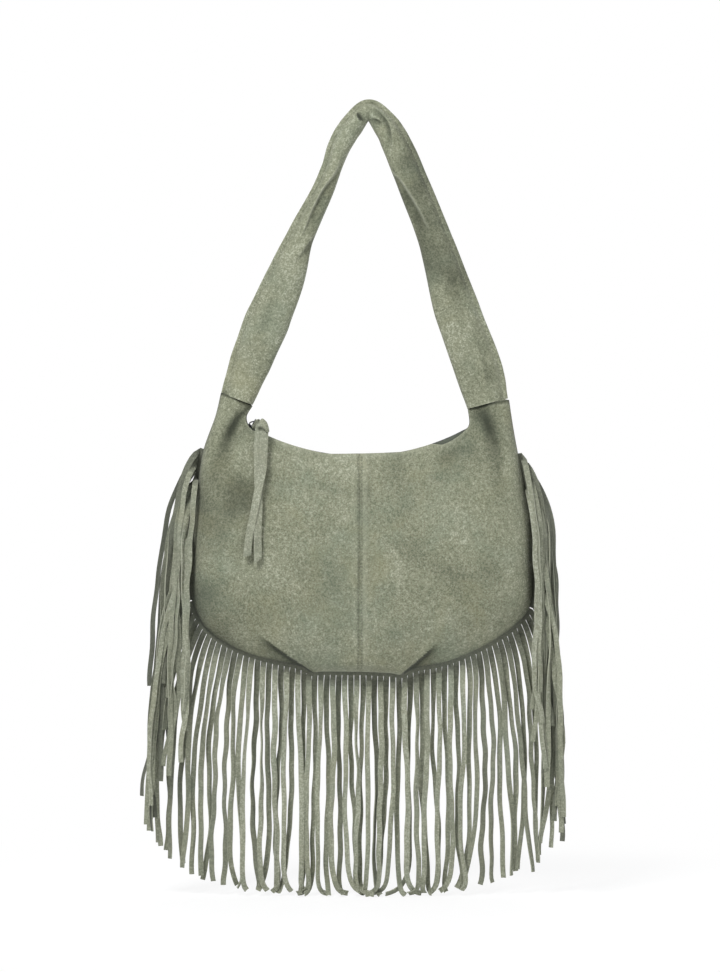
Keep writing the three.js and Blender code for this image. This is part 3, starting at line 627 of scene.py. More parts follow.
class Curve:
    """A centripetal curve through points, read by share of its spans or by share of its length."""

    STEPS = 48

    def __init__(self, points):
        points = np.array(points, float)
        first = 2 * points[0] - points[1]
        last = 2 * points[-1] - points[-2]
        padded = np.vstack([first, points, last])
        spans = []
        for k in range(len(points) - 1):
            spans.append(self._span(*padded[k:k + 4]))
        self.table = np.vstack([*spans, points[-1:]])
        self.reach = reach_along(self.table)
        self.length = self.reach[-1]
        self.shares = np.linspace(0, 1, len(self.table))

    def _span(self, before, start, end, after):
        pairs = ((before, start), (start, end), (end, after))
        first, second, third = (max(np.linalg.norm(b - a) ** 0.5, 1e-4) for a, b in pairs)
        middle = (end - start) / second
        out = ((start - before) / first - (end - before) / (first + second) + middle) * second
        into = (middle - (after - start) / (second + third) + (after - end) / third) * second
        t = np.linspace(0, 1, self.STEPS, endpoint=False)[:, None]
        return (
            (2 * t**3 - 3 * t**2 + 1) * start + (t**3 - 2 * t**2 + t) * out
            + (3 * t**2 - 2 * t**3) * end + (t**3 - t**2) * into
        )

    def at_share(self, share):
        return read_along(share, self.shares, self.table)

    def at_length(self, share):
        return read_along(np.asarray(share) * self.length, self.reach, self.table)


HALVES = {
    "left": {"mouth": Curve(LEFT_MOUTH), "seam": Curve(LEFT_SEAM), "sign": -1},
    "right": {"mouth": Curve(RIGHT_MOUTH), "seam": Curve(RIGHT_SEAM), "sign": 1},
}


def lattice_noise(x, z, scale, seed):
    """Smooth noise from -1 to 1 over the body, the same every run."""
    total = np.zeros_like(x, float)
    for octave in range(3):
        turn = 0.7 + 1.3 * octave + seed
        pitch = scale / (1.7**octave)
        u = (x * math.cos(turn) + z * math.sin(turn)) / pitch + 3.1 * seed
        v = (z * math.cos(turn) - x * math.sin(turn)) / pitch + 1.7 * seed
        total += np.sin(u + 1.3 * np.sin(v)) * np.cos(v + 0.9 * np.sin(u * 0.7)) / (1.6**octave)
    return total / 1.8


def waves(x, z, rows, later=0):
    """Noises added up, each from its pitch, its seed and its height."""
    return sum(height * lattice_noise(x, z, pitch, seed + later) for pitch, seed, height in rows)


def swell(down):
    """How far the skin swells between the mouth and the seam, from 0 to 1 and back to 0."""
    return (1 - (1 - down) ** 2) * np.maximum(0, 1 - down**4) ** 0.7 / SWELL_PEAK


def pleat_rise(x, z):
    """Height of each pleat's proud side over its fold line, and how dark the side tucked under it is."""
    rise = np.zeros_like(x, float)
    dark = np.zeros_like(x, float)
    for pleat in PLEATS:
        along = np.array(pleat["tip"]) - np.array(pleat["inside"])
        length = np.linalg.norm(along)
        dx = x - pleat["inside"][0]
        dz = z - pleat["inside"][1]
        run = (dx * along[0] + dz * along[1]) / length**2
        beside = (dx * along[1] - dz * along[0]) * pleat["side"] / length
        held = np.clip(run, 0, 1)
        beside = beside - PLEAT_BOW * np.sin(np.pi * held) * (1 - held)
        reach = smoothstep(run, 0.02, 0.75) * (1 - smoothstep(beside, *PLEAT_FADES_OVER))
        crisp = lerp(*PLEAT_EDGE_WIDTH, smoothstep(run, 0, 0.55))
        rise += PLEAT_RISE * PLEAT_PLUMPNESS * reach * smoothstep(beside, -crisp / 2, crisp / 2)
        tucked = np.minimum(beside, 0)
        # Painted shade on the side tucked under the lip
        under = 0.55 * hump(tucked, 2.5 + 2 * run) + 0.45 * hump(tucked, 13 + 6 * run)
        rise += 0.9 * hump(beside - 2.5, 2.5) * reach
        dark += under * (beside < crisp / 2) * smoothstep(run, -0.05, 0.45) * (run < 1.25)
    return rise, dark


# Soft hollows (and swells) that hanging leaves in the skin: x, z, reach along, reach across, tilt in degrees,
# rise and how much darker the suede is painted there: painted shade in the hollows, painted light (below zero) on most
# swells, and darker and paler clouds of the nap where nothing rises
HOLLOWS = [
    (-135, -307, 18, 4.5, 64, -2.0, 0.32), (-143, -328, 34, 10, 66, -1.4, 0.16),
    (-124, -293, 13, 2.6, 48, -0.6, 0.25), (117, -304, 19, 6.5, -74, -2.0, 0.28),
    (126, -334, 34, 8, -80, -1.4, 0.18), (106, -296, 9, 8, -60, -0.5, 0.14),
    (-118, -335, 22, 12, 60, 0.8, -0.09), (-160, -330, 40, 8, 76, 1.2, -0.08),
    (140, -340, 40, 8, -78, 1.2, -0.08), (-168, -410, 60, 12, 84, 1.4, 0.05),
    (150, -410, 55, 12, -84, 1.4, -0.02), (-140, -400, 46, 18, 70, -0.6, 0.09),
    (-150, -490, 40, 16, -42, -0.8, 0.06), (120, -500, 40, 14, 40, -0.8, 0.05),
    (-34, -536, 20, 9, 4, -0.8, 0.06), (10, -536, 20, 9, -6, -0.8, 0.05), (0, -430, 80, 40, 0, 0.8, 0.0),
    (-45, -366, 34, 10, -14, -0.3, 0.12), (60, -345, 40, 12, 16, 0.4, -0.08),
    (78, -338, 22, 6, 20, -0.3, 0.1), (-60, -345, 44, 7, -8, 0.4, -0.12), (40, -395, 30, 16, 30, 0, 0.08),
    (92, -420, 34, 14, 64, 0, -0.1), (118, -455, 30, 12, 70, 0, 0.07), (-80, -440, 40, 22, 20, 0, -0.05),
    (-40, -480, 30, 18, 60, 0, 0.06), (52, -490, 40, 18, 10, 0, -0.05),
]


# The skin swells beside the lace, by how much and over which heights
NECK_SWELL = 2.4
NECK_SWELL_HEIGHTS = (-395, -330)
HOLLOWS_START_AT = 0.6
HOLLOWS_DEEPEST = -0.1


def hollow_depth(x, z, seed):
    """Rise of the skin from its soft hollows and swells, and how much darker the nap lies there."""
    depth = np.zeros_like(x, float)
    shade = np.zeros_like(x, float)
    beside_lace = smoothstep(-x, 119, 130) + smoothstep(x, 101, 112)
    lift = NECK_SWELL * smoothstep(z, *NECK_SWELL_HEIGHTS) * beside_lace
    for place, (hx, hz, along, across, tilt, rise, dark) in enumerate(HOLLOWS):
        turn = math.radians(tilt)
        if seed:
            hx += 10 * (scatter(place, 7) - 0.5)
            rise *= 0.6 + 0.8 * scatter(place, 8)
        u = (x - hx) * math.cos(turn) + (z - hz) * math.sin(turn)
        v = (z - hz) * math.cos(turn) - (x - hx) * math.sin(turn)
        here = hump(u, along) * hump(v, across)
        depth += rise * here
        shade += dark * here
    return np.maximum(HOLLOWS_DEEPEST, depth + lift + HOLLOWS_START_AT), shade


def skin(side, out, down, face):
    """Points of the skin: out runs from the centre seam to the neck, down from the mouth to the seam."""
    half = HALVES[side]
    top = half["mouth"].at_length(out)
    from_seam = np.minimum(ZIP_RADIUS, np.abs(top[..., 0] - CENTRE_SEAM_X))
    arc = ZIP_CENTRE_Z - np.sqrt(ZIP_RADIUS**2 - from_seam**2)
    inner, outer = MOUTH_RAISED_LEFT
    left = smoothstep(-top[..., 0], *inner) * smoothstep(top[..., 0], *outer)
    inner, outer = MOUTH_RAISED_RIGHT
    right = smoothstep(top[..., 0], *inner) * (1 - smoothstep(top[..., 0], *outer))
    raised = np.maximum(0, arc + MOUTH_OVER_ZIP - top[..., 1]) * (left + right) * (face < 0)
    top = top + np.stack([np.zeros_like(arc), raised], axis=-1)
    bottom = half["seam"].at_share(out)
    down = np.asarray(down, float)
    flat = top + (bottom - top) * down[..., None]
    x, z = flat[..., 0], flat[..., 1]
    belly = lerp(BELLY_DEPTH, NECK_DEPTH, smoothstep(out, *BELLY_TO_NECK))
    mouth = (MOUTH_HALF_GAP - PLAY * 3) * (1 - smoothstep(out, *MOUTH_CLOSES))
    depth = PLAY * 3 + SUEDE + mouth * (1 - down) ** 2 + belly * swell(down)
    rimless = np.minimum(1, (1 - down) * 16)
    rise = pleat_rise(x, z)[0] * np.minimum(1, (1 - down) * 30)
    seed = 0 if face < 0 else 1
    free = rimless * np.minimum(1, down * 10 + 0.15) * (1 - smoothstep(out, 0.9, 1))
    rise += hollow_depth(x, z, seed)[0] * free
    rise += waves(x, z, SKIN_WAVES, seed) * free
    for away, width, height in SEAM_PROFILE:
        rise += height * hump(np.abs(x - CENTRE_SEAM_X) - away, width) * rimless
    points = np.empty(flat.shape[:-1] + (3,))
    points[..., 0] = x
    points[..., 1] = face * (depth + rise)
    points[..., 2] = z
    return points


def object_from(name, points, faces, finish, sharp=None, attributes=()):
    """A mesh piece from points in millimetres, in the bag's frame."""
    mesh = bpy.data.meshes.new(name)
    mesh.from_pydata((np.asarray(points) * MM).tolist(), [], faces)
    mesh.validate()
    for key, values in dict(attributes).items():
        domain = "POINT" if len(values) == len(mesh.vertices) else "FACE"
        layer = mesh.attributes.new(key, "FLOAT", domain)
        layer.data.foreach_set("value", np.asarray(values, np.float32))
    mesh.polygons.foreach_set("use_smooth", [True] * len(mesh.polygons))
    if sharp is not None:
        mesh.set_sharp_from_angle(angle=math.radians(sharp))
    mesh.materials.append(finish_of(finish))
    piece = bpy.data.objects.new(name, mesh)
    bpy.context.collection.objects.link(piece)
    return piece


def grid_faces(columns, rows, start=0, turned=False):
    faces = []
    for i in range(columns):
        for j in range(rows):
            a = start + i * (rows + 1) + j
            quad = (a, a + rows + 1, a + rows + 2, a + 1)
            faces.append(quad[::-1] if turned else quad)
    return faces


def ring_faces(count, girth, start=0, loops=False, turned=False):
    """Faces from each ring of points to the next, and from the last to the first if they loop."""
    faces = []
    for i in range(count if loops else count - 1):
        here = start + i * girth
        there = start + (i + 1) % count * girth
        for k in range(girth):
            m = (k + 1) % girth
            if turned:
                faces.append((here + k, there + k, there + m, here + m))
            else:
                faces.append((here + k, here + m, there + m, there + k))
    return faces


def tube_faces(count, girth, start=0, loops=False):
    """Faces of a tube through rings of points, capped at its ends unless it loops."""
    faces = ring_faces(count, girth, start, loops)
    if not loops:
        faces.append(tuple(start + k for k in reversed(range(girth))))
        faces.append(tuple(start + (count - 1) * girth + k for k in range(girth)))
    return faces


def sheet_with_thickness(outer, inner):
    """Points and faces of two grids joined round their rim."""
    columns, rows = outer.shape[0] - 1, outer.shape[1] - 1
    points = np.vstack([outer.reshape(-1, 3), inner.reshape(-1, 3)])
    layer = (columns + 1) * (rows + 1)
    faces = grid_faces(columns, rows) + grid_faces(columns, rows, layer, turned=True)
    rim = [i * (rows + 1) for i in range(columns)]
    rim += [columns * (rows + 1) + j for j in range(rows)]
    rim += [i * (rows + 1) + rows for i in range(columns, 0, -1)]
    rim += list(range(rows, 0, -1))
    for a, b in zip(rim, rim[1:] + rim[:1]):
        faces.append((b, a, a + layer, b + layer))
    return points, faces


def neck_tongue(side, outer):
    """Rows that carry the neck on, tucked inside the end of the handle."""
    ends = HANDLE[:2] if side == "left" else HANDLE[:-3:-1]
    way = unit(np.array([ends[1][0] - ends[0][0], 0, ends[1][1] - ends[0][1]], float))
    rows = []
    for reach, narrow, thin in NECK_TONGUE:
        row = outer[-1] + way * reach
        middle = row[:, [0, 2]].mean(axis=0)
        row[:, 0] = middle[0] + (row[:, 0] - middle[0]) * narrow
        row[:, 2] = middle[1] + (row[:, 2] - middle[1]) * narrow
        row[:, 1] *= thin
        rows.append(row)
    return np.concatenate([outer, np.stack(rows)])


def panel(side, face):
    """One of the body's four panels, a shell of suede with its edges turned in at the centre seam."""
    out = np.linspace(0, 1, PANEL_GRID[0])[:, None]
    down = 1 - (1 - np.linspace(0, 1, PANEL_GRID[1])[None, :]) ** ROWS_CROWD_AT_SEAM
    out, down = np.broadcast_arrays(out, down)
    outer = neck_tongue(side, skin(side, out, down, face))
    tongue = len(NECK_TONGUE)
    down = np.concatenate([down, down[-tongue:]])
    out = np.concatenate([out, out[-tongue:]])
    normal = unit(np.cross(np.gradient(outer, axis=0), np.gradient(outer, axis=1)))
    normal *= np.where(normal[..., 1:2] * face > 0, 1, -1)
    inner = outer - normal * SUEDE
    inner[..., 1] = face * np.maximum(PLAY * 3, np.abs(inner[..., 1]))
    inner[:, 0] = outer[:, 0] - [0, face * SUEDE, 0]
    inner[:, -1] = outer[:, -1] - [0, face * SUEDE, 0]
    inner[0] = outer[0] - [0, face * SUEDE * 2, 0]
    points, faces = sheet_with_thickness(outer, inner)
    x, z = outer[..., 0], outer[..., 2]
    beside = np.abs(x - CENTRE_SEAM_X)
    tucked = pleat_rise(x, z)[1]
    rim = 1 - down
    middle = beside < RIM_PALE_WITHIN
    # Rubbed pale, with a painted highlight along the mouth's edge and along the seam's lip in the middle
    wear_and_highlight = MOUTH_RUB_AND_HIGHLIGHT * np.exp(-(down * 60)) + SEAM_RUB_AND_HIGHLIGHT * np.exp(-(rim * 140)) * middle
    # A painted highlight on the ridge 5 mm beside the centre seam, stronger on the right half
    wear_and_highlight += (0.12 + 0.14 * (side == "right")) * hump(beside - 5, 3)
    tone = 0.5 + waves(x, z, BODY_CLOUDS)
    # Painted shade in the hollows and painted light on the swells, with clouds of the nap; painted shade on the side
    # tucked under each pleat's lip
    tone -= hollow_depth(x, z, 0)[1] + 0.6 * tucked
    # Painted shade over the upper body, round the left neck and on the lower left side, as the light falls
    tone -= 0.09 * smoothstep(z, -430, -360) + 0.08 * smoothstep(-x, 90, 130) * smoothstep(z, -440, -380)
    tone -= 0.05 * smoothstep(-x, 50, 120) * smoothstep(-z, 380, 430)
    # Painted shade towards the bottom seam away from the middle, and a painted shadow in a dark line at the seam's
    # edge beyond the middle
    tone -= 0.1 * np.exp(-(rim * 26)) * (1 - hump(beside, 60))
    tone -= 0.3 * np.exp(-(rim * 150)) * (beside > RIM_PALE_WITHIN)
    # Painted shade in the centre seam's groove and along its stitch rows, and a painted shadow where the neck goes
    # under the handle's edge
    tone -= 0.13 * hump(beside, 0.6) + 0.07 * hump(beside - 1.9, 0.7)
    tone -= 0.34 * hump(1 - out, 0.006)
    # Darker in a band 9 mm right of the centre seam, over the upper body
    if side == "right":
        tone -= 0.1 * hump(beside - 9, 4) * smoothstep(z, -430, -380)
    wear_and_highlight = np.concatenate([wear_and_highlight.ravel(), np.full(wear_and_highlight.size, INSIDE_WEAR)])
    # The inner face painted dark, as shade inside the bag
    tone = np.concatenate([tone.ravel(), np.full(tone.size, INSIDE_SHADE_TONE)])
    return object_from(
        ("front" if face < 0 else "back") + "_suede_" + side, points, faces, "suede",
        sharp=60, attributes={"wear_and_highlight": np.clip(wear_and_highlight, 0, 1), "tone": tone})


A_LITTLE_ASIDE = 0.02
STITCH_RINGS = 7
STITCH_GIRTH = 6


def stitch_row(name, path, normals, tilt=0.0, finish="thread"):
    """Topstitches along a path: each a short thread that dips into the suede at both ends."""
    path = np.asarray(path, float)
    reach = reach_along(path)
    length = sizes().stitch_length / MM
    pitch = length + sizes().stitch_gap / MM
    radius = sizes().thread / MM / 2
    arch = np.sin(np.linspace(0, math.pi, STITCH_RINGS))
    points, faces = [], []
    for k in range(int(reach[-1] // pitch)):
        along = np.linspace(k * pitch, k * pitch + length, STITCH_RINGS)
        normal = read_along(along, reach, normals)
        middle = read_along(along, reach, path) + normal * (arch[:, None] * 0.9 - 0.25) * radius * 2
        forward = unit(middle[-1] - middle[0])
        aside = unit(np.cross(forward, normal[0]))
        middle += aside * np.linspace(-tilt, tilt, STITCH_RINGS)[:, None] * length
        up = np.cross(aside, forward)
        faces.extend(tube_faces(STITCH_RINGS, STITCH_GIRTH, len(points)))
        for centre, share in zip(middle, arch):
            girth = radius * (0.75 + 0.25 * share)
            for a in range(STITCH_GIRTH):
                turn = 2 * math.pi * a / STITCH_GIRTH
                points.append(centre + (aside * math.cos(turn) + up * math.sin(turn)) * girth)
    shade = {"wear_and_highlight": np.full(len(points), 0.25), "tone": np.full(len(points), 0.5)}
    return object_from(name, points, faces, finish, attributes=shade)


def seam_stitches(face):
    """Two rows of topstitching beside the centre seam, on one face of the bag."""
    rows = []
    inset = sizes().seam_rows / MM
    for side in ("left", "right"):
        sign = HALVES[side]["sign"]
        down = np.linspace(0.012, 0.985, 160)
        base = skin(side, np.zeros_like(down), down, face)
        beside = skin(side, np.full_like(down, A_LITTLE_ASIDE), down, face)
        share = inset / np.maximum(1e-6, np.abs(beside[:, 0] - base[:, 0]))
        path = skin(side, A_LITTLE_ASIDE * share, down, face)
        path[:, 0] = CENTRE_SEAM_X + sign * inset
        normals = np.tile([0, face, 0], (len(path), 1)).astype(float)
        name = f"{'front' if face < 0 else 'back'}_stitches_{side}"
        rows.append(stitch_row(name, path, normals, 0.02))
    return rows


# Folds in the handle's front: where each runs, the side of its lip (1 is outward on the right branch), how
# far the lip stands proud, its width, how wide the hollow beside it is and how dark its painted shade, and how bright
# the painted highlight on its edge is
HANDLE_FOLDS = [
    ([(-27, -41), (-33, -55), (-45.5, -72), (-56, -92), (-66, -118)], -1, 2.6, 1.6, 11, 0.3, 0.8),
    ([(-50, -112), (-60, -126), (-74, -146)], -1, 1.4, 2.2, 8, 0.26, 0.3),
    ([(17, -46), (23, -54.8), (30, -62), (38, -74), (45.2, -86), (52.3, -99.1), (58, -112)],
     1, 1.8, 1.3, 9, 0.16, 0.8),
    ([(43, -96), (47, -104), (51, -120)], -1, -0.4, 5, 8, 0.14, 0.0),
    ([(-12, 6), (-12, 1.6), (-9.5, -2), (-4.5, -4)], -1, 1.8, 1.4, 4.5, 0.7, 0.15),
    ([(3.6, 10.2), (10, 5), (17.6, -3.9), (21.4, -16), (22.1, -31)], 1, 1.6, 1.2, 6, 0.4, 0.2),
    ([(1.5, -1), (7, -2.4), (12.8, -5.4)], 1, 1.0, 1.2, 5, 0.4, 0.1),
    ([(-12.4, 4.1), (-9, 1.4), (-6.9, -3.2)], 1, 0.4, 1.4, 3, 0.2, 0.2),
    ([(-96, -180), (-108, -210), (-118, -236)], -1, 0.8, 5, 9, 0.1, 0.0),
    ([(80, -150), (90, -184), (98, -214)], 1, 0.8, 5, 9, 0.12, 0.0),
    ([(-74, -150), (-92, -184), (-104, -226)], 1, 0.9, 4, 10, 0.12, 0.1),
    ([(100, -200), (112, -236), (119, -268)], -1, 0.8, 4, 9, 0.12, 0.0),
]


def fold_rise(x, z, folds):
    """Rise, darkness and paleness of folds: a proud lip on one side, a dark hollow on the other."""
    rise = np.zeros_like(x, float)
    dark = np.zeros_like(x, float)
    pale = np.zeros_like(x, float)
    for points, side, lip, width, hollow, shade, edge in folds:
        line = Curve(points)
        ahead = unit(np.gradient(line.table, axis=0))
        flat = np.stack([x, z], axis=-1)
        gap = flat[..., None, :] - line.table
        nearest = np.argmin((gap**2).sum(-1), axis=-1)
        away = np.take_along_axis(gap, nearest[..., None, None], axis=-2)[..., 0, :]
        direction = ahead[nearest]
        beside = (away[..., 1] * direction[..., 0] - away[..., 0] * direction[..., 1]) * side
        past = np.abs((away * direction).sum(-1))
        share = nearest / (len(line.table) - 1)
        fade = np.sin(np.pi * np.clip(share, 0.001, 0.999)) ** 0.5 * hump(past, 2 * width)
        lifted = smoothstep(beside, -width / 2, width / 2) * hump(np.maximum(0, beside), 5 * width + 4)
        rise += lip * lifted * fade
        sunk = hump(beside, hollow) * (beside < width / 2)
        rise -= 0.5 * abs(lip) * sunk * fade
        # Painted shade in the hollow and a painted highlight on the lip's edge
        dark += shade * sunk * fade
        pale += edge * hump(beside - 0.5 * width, 1.1) * fade
    return rise, dark, pale


def handle_section(stations, around):
    """Points of the sleeve round its whole length, with where each lies across the strap."""
    path = Curve([(x, z) for x, z, _, _ in HANDLE])
    share = np.linspace(0, 1, stations + 1)
    centre = path.at_share(share)
    knots = np.linspace(0, 1, len(HANDLE))
    width = smoothed(np.interp(share, knots, [station[2] for station in HANDLE]), SECTION_PASSES)
    thick = smoothed(np.interp(share, knots, [station[3] for station in HANDLE]), SECTION_PASSES)
    along = unit(np.gradient(centre, axis=0))
    outward = np.stack([-along[:, 1], along[:, 0]], axis=-1)
    angle = np.linspace(0, 2 * math.pi, around, endpoint=False)
    across = (width[:, None] / 2) * np.cos(angle)[None, :]
    tube = (width / 2 - HANDLE_FLANGE / 2)[:, None]
    offset = np.minimum(tube, np.abs(across + HANDLE_FLANGE / 2))
    bulge = (thick[:, None] / 2) * np.sqrt(np.maximum(0, 1 - (offset / tube) ** 2.4))
    half = np.maximum(SUEDE * 1.1, bulge)
    for _ in range(SECTION_PASSES):
        half = (np.roll(half, 1, axis=1) + 2 * half + np.roll(half, -1, axis=1)) / 4
    flat = np.minimum(1, np.abs(np.sin(angle)) * 3)[None, :]
    points = np.empty(across.shape + (3,))
    sway = HANDLE_SWAY * np.sin(share * 37) * np.sin(share * 89 + 1)
    wavy = across * (1 + sway[:, None])
    points[..., 0] = centre[:, None, 0] + outward[:, None, 0] * wavy
    points[..., 2] = centre[:, None, 1] + outward[:, None, 1] * wavy
    side = np.sign(np.round(np.sin(angle), 6))[None, :]
    points[..., 1] = side * half * flat
    return points, across / (width[:, None] / 2), share


@functools.lru_cache
def handle_points():
    """The sleeve's points with its folds, and where the nap lies dark or is rubbed pale."""
    points, across, share = handle_section(*HANDLE_GRID)
    x, z = points[..., 0], points[..., 2]
    front = points[..., 1] < 0
    free = smoothstep(1 - across, 0.16, 0.5) * smoothstep(across + 1, 0.02, 0.3)
    rise, dark, pale = fold_rise(x, z, HANDLE_FOLDS)
    rise = rise * front
    rise += 0.55 * lattice_noise(x, z, 16, 9) * free
    rise += 0.9 * lattice_noise(x * 1.4 + 0.6 * z, z * 0.5, 22, 11) * free
    points[..., 1] += np.where(front, -1, 1) * rise * np.clip(free + 0.3 * front, 0, 1)
    ends = smoothstep(np.abs(share - 0.5), 0.475, 0.5)[:, None]
    points[..., 1] *= 1 + 0.2 * ends
    return points, across, dark * front, pale * front


def handle_sleeve():
    """The strap folded to a soft tube, open at both ends with its edge turned inside."""
    points, across, dark, pale = handle_points()
    around = across.shape[1]
    middle = points.mean(axis=1, keepdims=True)
    inner = middle + (points - middle) * np.array(SLEEVE_TURNED_IN)
    rings = np.concatenate([inner[3:4], inner[:1], points, inner[-1:], inner[-4:-3]])
    flat = rings.reshape(-1, 3)
    faces = ring_faces(len(rings), around)
    x, z = points[..., 0], points[..., 2]
    # Paler at the strap's rubbed edge, with painted highlights on the folds' lips and a paler line along the stitch
    # row
    wear_and_highlight = np.exp(-((1 - across) * 14)) * 0.14 + pale
    wear_and_highlight += 0.16 * hump((1 - across) * 20 - HANDLE_STITCH_INSET, 1.3)
    wear_and_highlight[[0, 1, -2, -1]] += 0.25
    # Clouds of the nap, less the painted shade in the folds' hollows
    tone = 0.5 + waves(x, z, HANDLE_CLOUDS) - dark
    # The left branch painted lighter and the right branch darker, as the light falls from the left; the lower right a
    # little lighter
    tone += 0.09 * smoothstep(-x, 0, 40) - 0.2 * smoothstep(x, 10, 50) * smoothstep(z, -190, -150)
    tone += 0.06 * smoothstep(x, 60, 90) * smoothstep(-z, 200, 230)
    pad = [(2, 2), (0, 0)]
    wear_and_highlight = np.pad(wear_and_highlight, pad, mode="edge")
    # The turned-in ends painted dark, as shade inside the sleeve
    tone = np.pad(tone, pad, constant_values=0.15)
    return object_from("handle_suede", flat, faces, "suede", sharp=60,
                       attributes={"wear_and_highlight": np.clip(wear_and_highlight.ravel(), 0, 1), "tone": tone.ravel()})


# The handle's stations that its row of stitches runs over
HANDLE_ROW = slice(22, -22)


def handle_stitches(face):
    """The row of topstitches that closes the strap, near its outer edge."""
    points, across, _, _ = handle_points()
    line, normals = [], []
    for ring, shares in zip(points, across):
        facing = ring[:, 1] * face > 0
        edge = np.linalg.norm(ring[0] - ring[len(ring) // 2])
        target = 1 - 2 * HANDLE_STITCH_INSET / edge
        order = np.argsort(shares[facing])
        chosen = ring[facing][order]
        line.append(read_along(target, shares[facing][order], chosen))
        normals.append([0, face, 0])
    name = "handle_stitches_front" if face < 0 else "handle_stitches_back"
    return stitch_row(name, line[HANDLE_ROW], normals[HANDLE_ROW], finish="suede")


def seam_frames(side, along):
    """Points on the seam, with the direction out of the bag there."""
    half = HALVES[side]
    sign = half["sign"]
    seam = half["seam"]
    along = np.atleast_1d(np.asarray(along, float))
    point = seam.at_length(np.clip(along / seam.length, 0, 1))
    ahead = seam.at_length(np.clip((along + SEAM_READ_OVER) / seam.length, 0, 1))
    behind = seam.at_length(np.clip(np.abs(along - SEAM_READ_OVER) / seam.length, 0, 1))
    mirrored = along < SEAM_READ_OVER
    behind[mirrored, 0] = 2 * CENTRE_SEAM_X - behind[mirrored, 0]
    tangent = unit(ahead - behind)
    outward = np.stack([tangent[:, 1] * sign, -tangent[:, 0] * sign], axis=-1)
    return point, outward


def widest_edge(side):
    """How far out the body's edge has come on the way down: heights falling, and the reach there."""
    table = HALVES[side]["seam"].table[::-1]
    reach = np.maximum.accumulate(table[:, 0] * HALVES[side]["sign"])
    return -table[:, 1], reach


def side_layer(side, along):
    """Which layer over the body's side a strip hangs in: 0 is the nearest to it."""
    number = round((along - SIDE_FRINGE_STARTS[side]) / FRINGE_PITCH)
    return SIDE_LAYER_STRIDE * number % SIDE_LAYERS


def strip_lane(side, strip, along):
    """How far in front of the seam (negative) or behind it (positive) a strip hangs, and its turn's side."""
    alternate = 1 if strip % 2 == 0 else -1
    start = SIDE_FRINGE_STARTS[side]
    if along > start:
        rise = min(1, (along - start) / (FRINGE_REACH[side] - start))
        return -lerp(*SIDE_LAYER_NEAREST, rise) - SIDE_LAYER_PITCH * side_layer(side, along), alternate
    if along > start - BEFORE_CORNER:
        return LANE_BEFORE_CORNER[0] + LANE_BEFORE_CORNER[1] * alternate, alternate
    return LANE_BELOW * alternate, alternate


def surface_height():
    """Height of the surface that the fringe's tips rest on."""
    return HALVES["left"]["seam"].table[0][1] - FRINGE_LENGTH + TIP_CURL


def strip_route(side, strip, along, steps):
    """Points down one strip: straight out of the seam, over into its lane, down, and curling at its tip."""
    sign = HALVES[side]["sign"]
    point, outward = seam_frames(side, along)
    start = point[0] + outward[0] * HEADER_SHOWING
    lean = abs(outward[0][0])
    keys = np.array(LANES[side], float)
    sideways = max(0, np.interp(along, keys[:, 0], keys[:, 1]) - HEADER_SHOWING * lean)
    turn = sideways / (0.6 * min(max(lean, 0.15), 0.95)) + 1e-6
    at_side = along > SIDE_FRINGE_STARTS[side]
    lane, alternate = strip_lane(side, strip, along)
    length = FRINGE_LENGTH - HEADER_SHOWING + lerp(*STRIP_LENGTH_VARIES, scatter(strip, 4))
    travelled = np.linspace(0, length, steps * 4 + 1)
    slope = sideways / turn * np.exp(-travelled / turn)
    fall = np.sqrt(np.maximum(0.02, 1 - slope**2))
    phase = 2 * math.pi * scatter(strip, 3)
    ramp = np.minimum(1, travelled / STRIP_TURNS_OVER)
    spread = sideways * (1 - np.exp(-travelled / turn))
    if at_side:
        drops, reach = widest_edge(side)
        edge = np.interp(travelled - start[1], drops, reach) - np.interp(-start[1], drops, reach)
        behind = 1 - side_layer(side, along) / (SIDE_LAYERS - 1)
        beside_edge = lerp(*SIDE_STRIPS_BESIDE_EDGE[side], behind)
        left_over = lerp(sideways - edge[-1], beside_edge, smoothstep(along, *SIDE_STRIPS_DRAW_IN))
        bend = max(LEAST_BEND, 1.9 * abs(left_over))
        spread = edge + left_over * (1 - np.exp(-travelled / bend))
        slope = np.gradient(spread, travelled)
        fall = np.sqrt(np.maximum(0.05, 1 - slope**2))
    z = start[1] - np.concatenate([[0], np.cumsum((fall[1:] + fall[:-1]) / 2 * np.diff(travelled))])
    x = start[0] + sign * spread
    long_wave = STRIP_LONG_WAVE[0] + STRIP_LONG_WAVE[1] * scatter(strip, 2)
    x += ramp * (0.7 + 1.2 * scatter(strip, 1)) * np.sin(2 * math.pi * travelled / long_wave + phase)
    short_wave = STRIP_SHORT_WAVE[0] + STRIP_SHORT_WAVE[1] * scatter(strip, 12)
    x += ramp * (0.15 + 0.55 * scatter(strip, 13)) * np.sin(2 * math.pi * travelled / short_wave + 5 * phase)
    drift = (scatter(strip, 14) - 0.5) * (SIDE_STRIP_DRIFT if at_side else BOTTOM_STRIP_DRIFT)
    x += drift * (travelled / length) ** 1.6
    x += (scatter(strip, 16) - 0.5) * STRIP_END_SWAY * smoothstep(travelled, length - STRIP_END, length) ** 2
    y = lane * (1 - np.exp(-travelled / STRIP_SETTLES))
    y = y + ramp * 1.1 * np.sin(2 * math.pi * travelled / (long_wave * 0.7) + 2.3 * phase)
    lowest = surface_height() + SUEDE * 0.6
    rest = (z - lowest) / STRIP_RESTS_OVER
    spare = STRIP_RESTS_OVER * np.logaddexp(0, -rest)
    z = lowest + STRIP_RESTS_OVER * np.logaddexp(0, rest)
    swing = 2 * math.pi * scatter(strip, 6)
    x = x + spare * math.cos(swing) * 1.05
    y = y - spare * 0.55 * alternate
    route = np.stack([x, y, z], axis=-1)[::4]
    return route, travelled[::4], phase


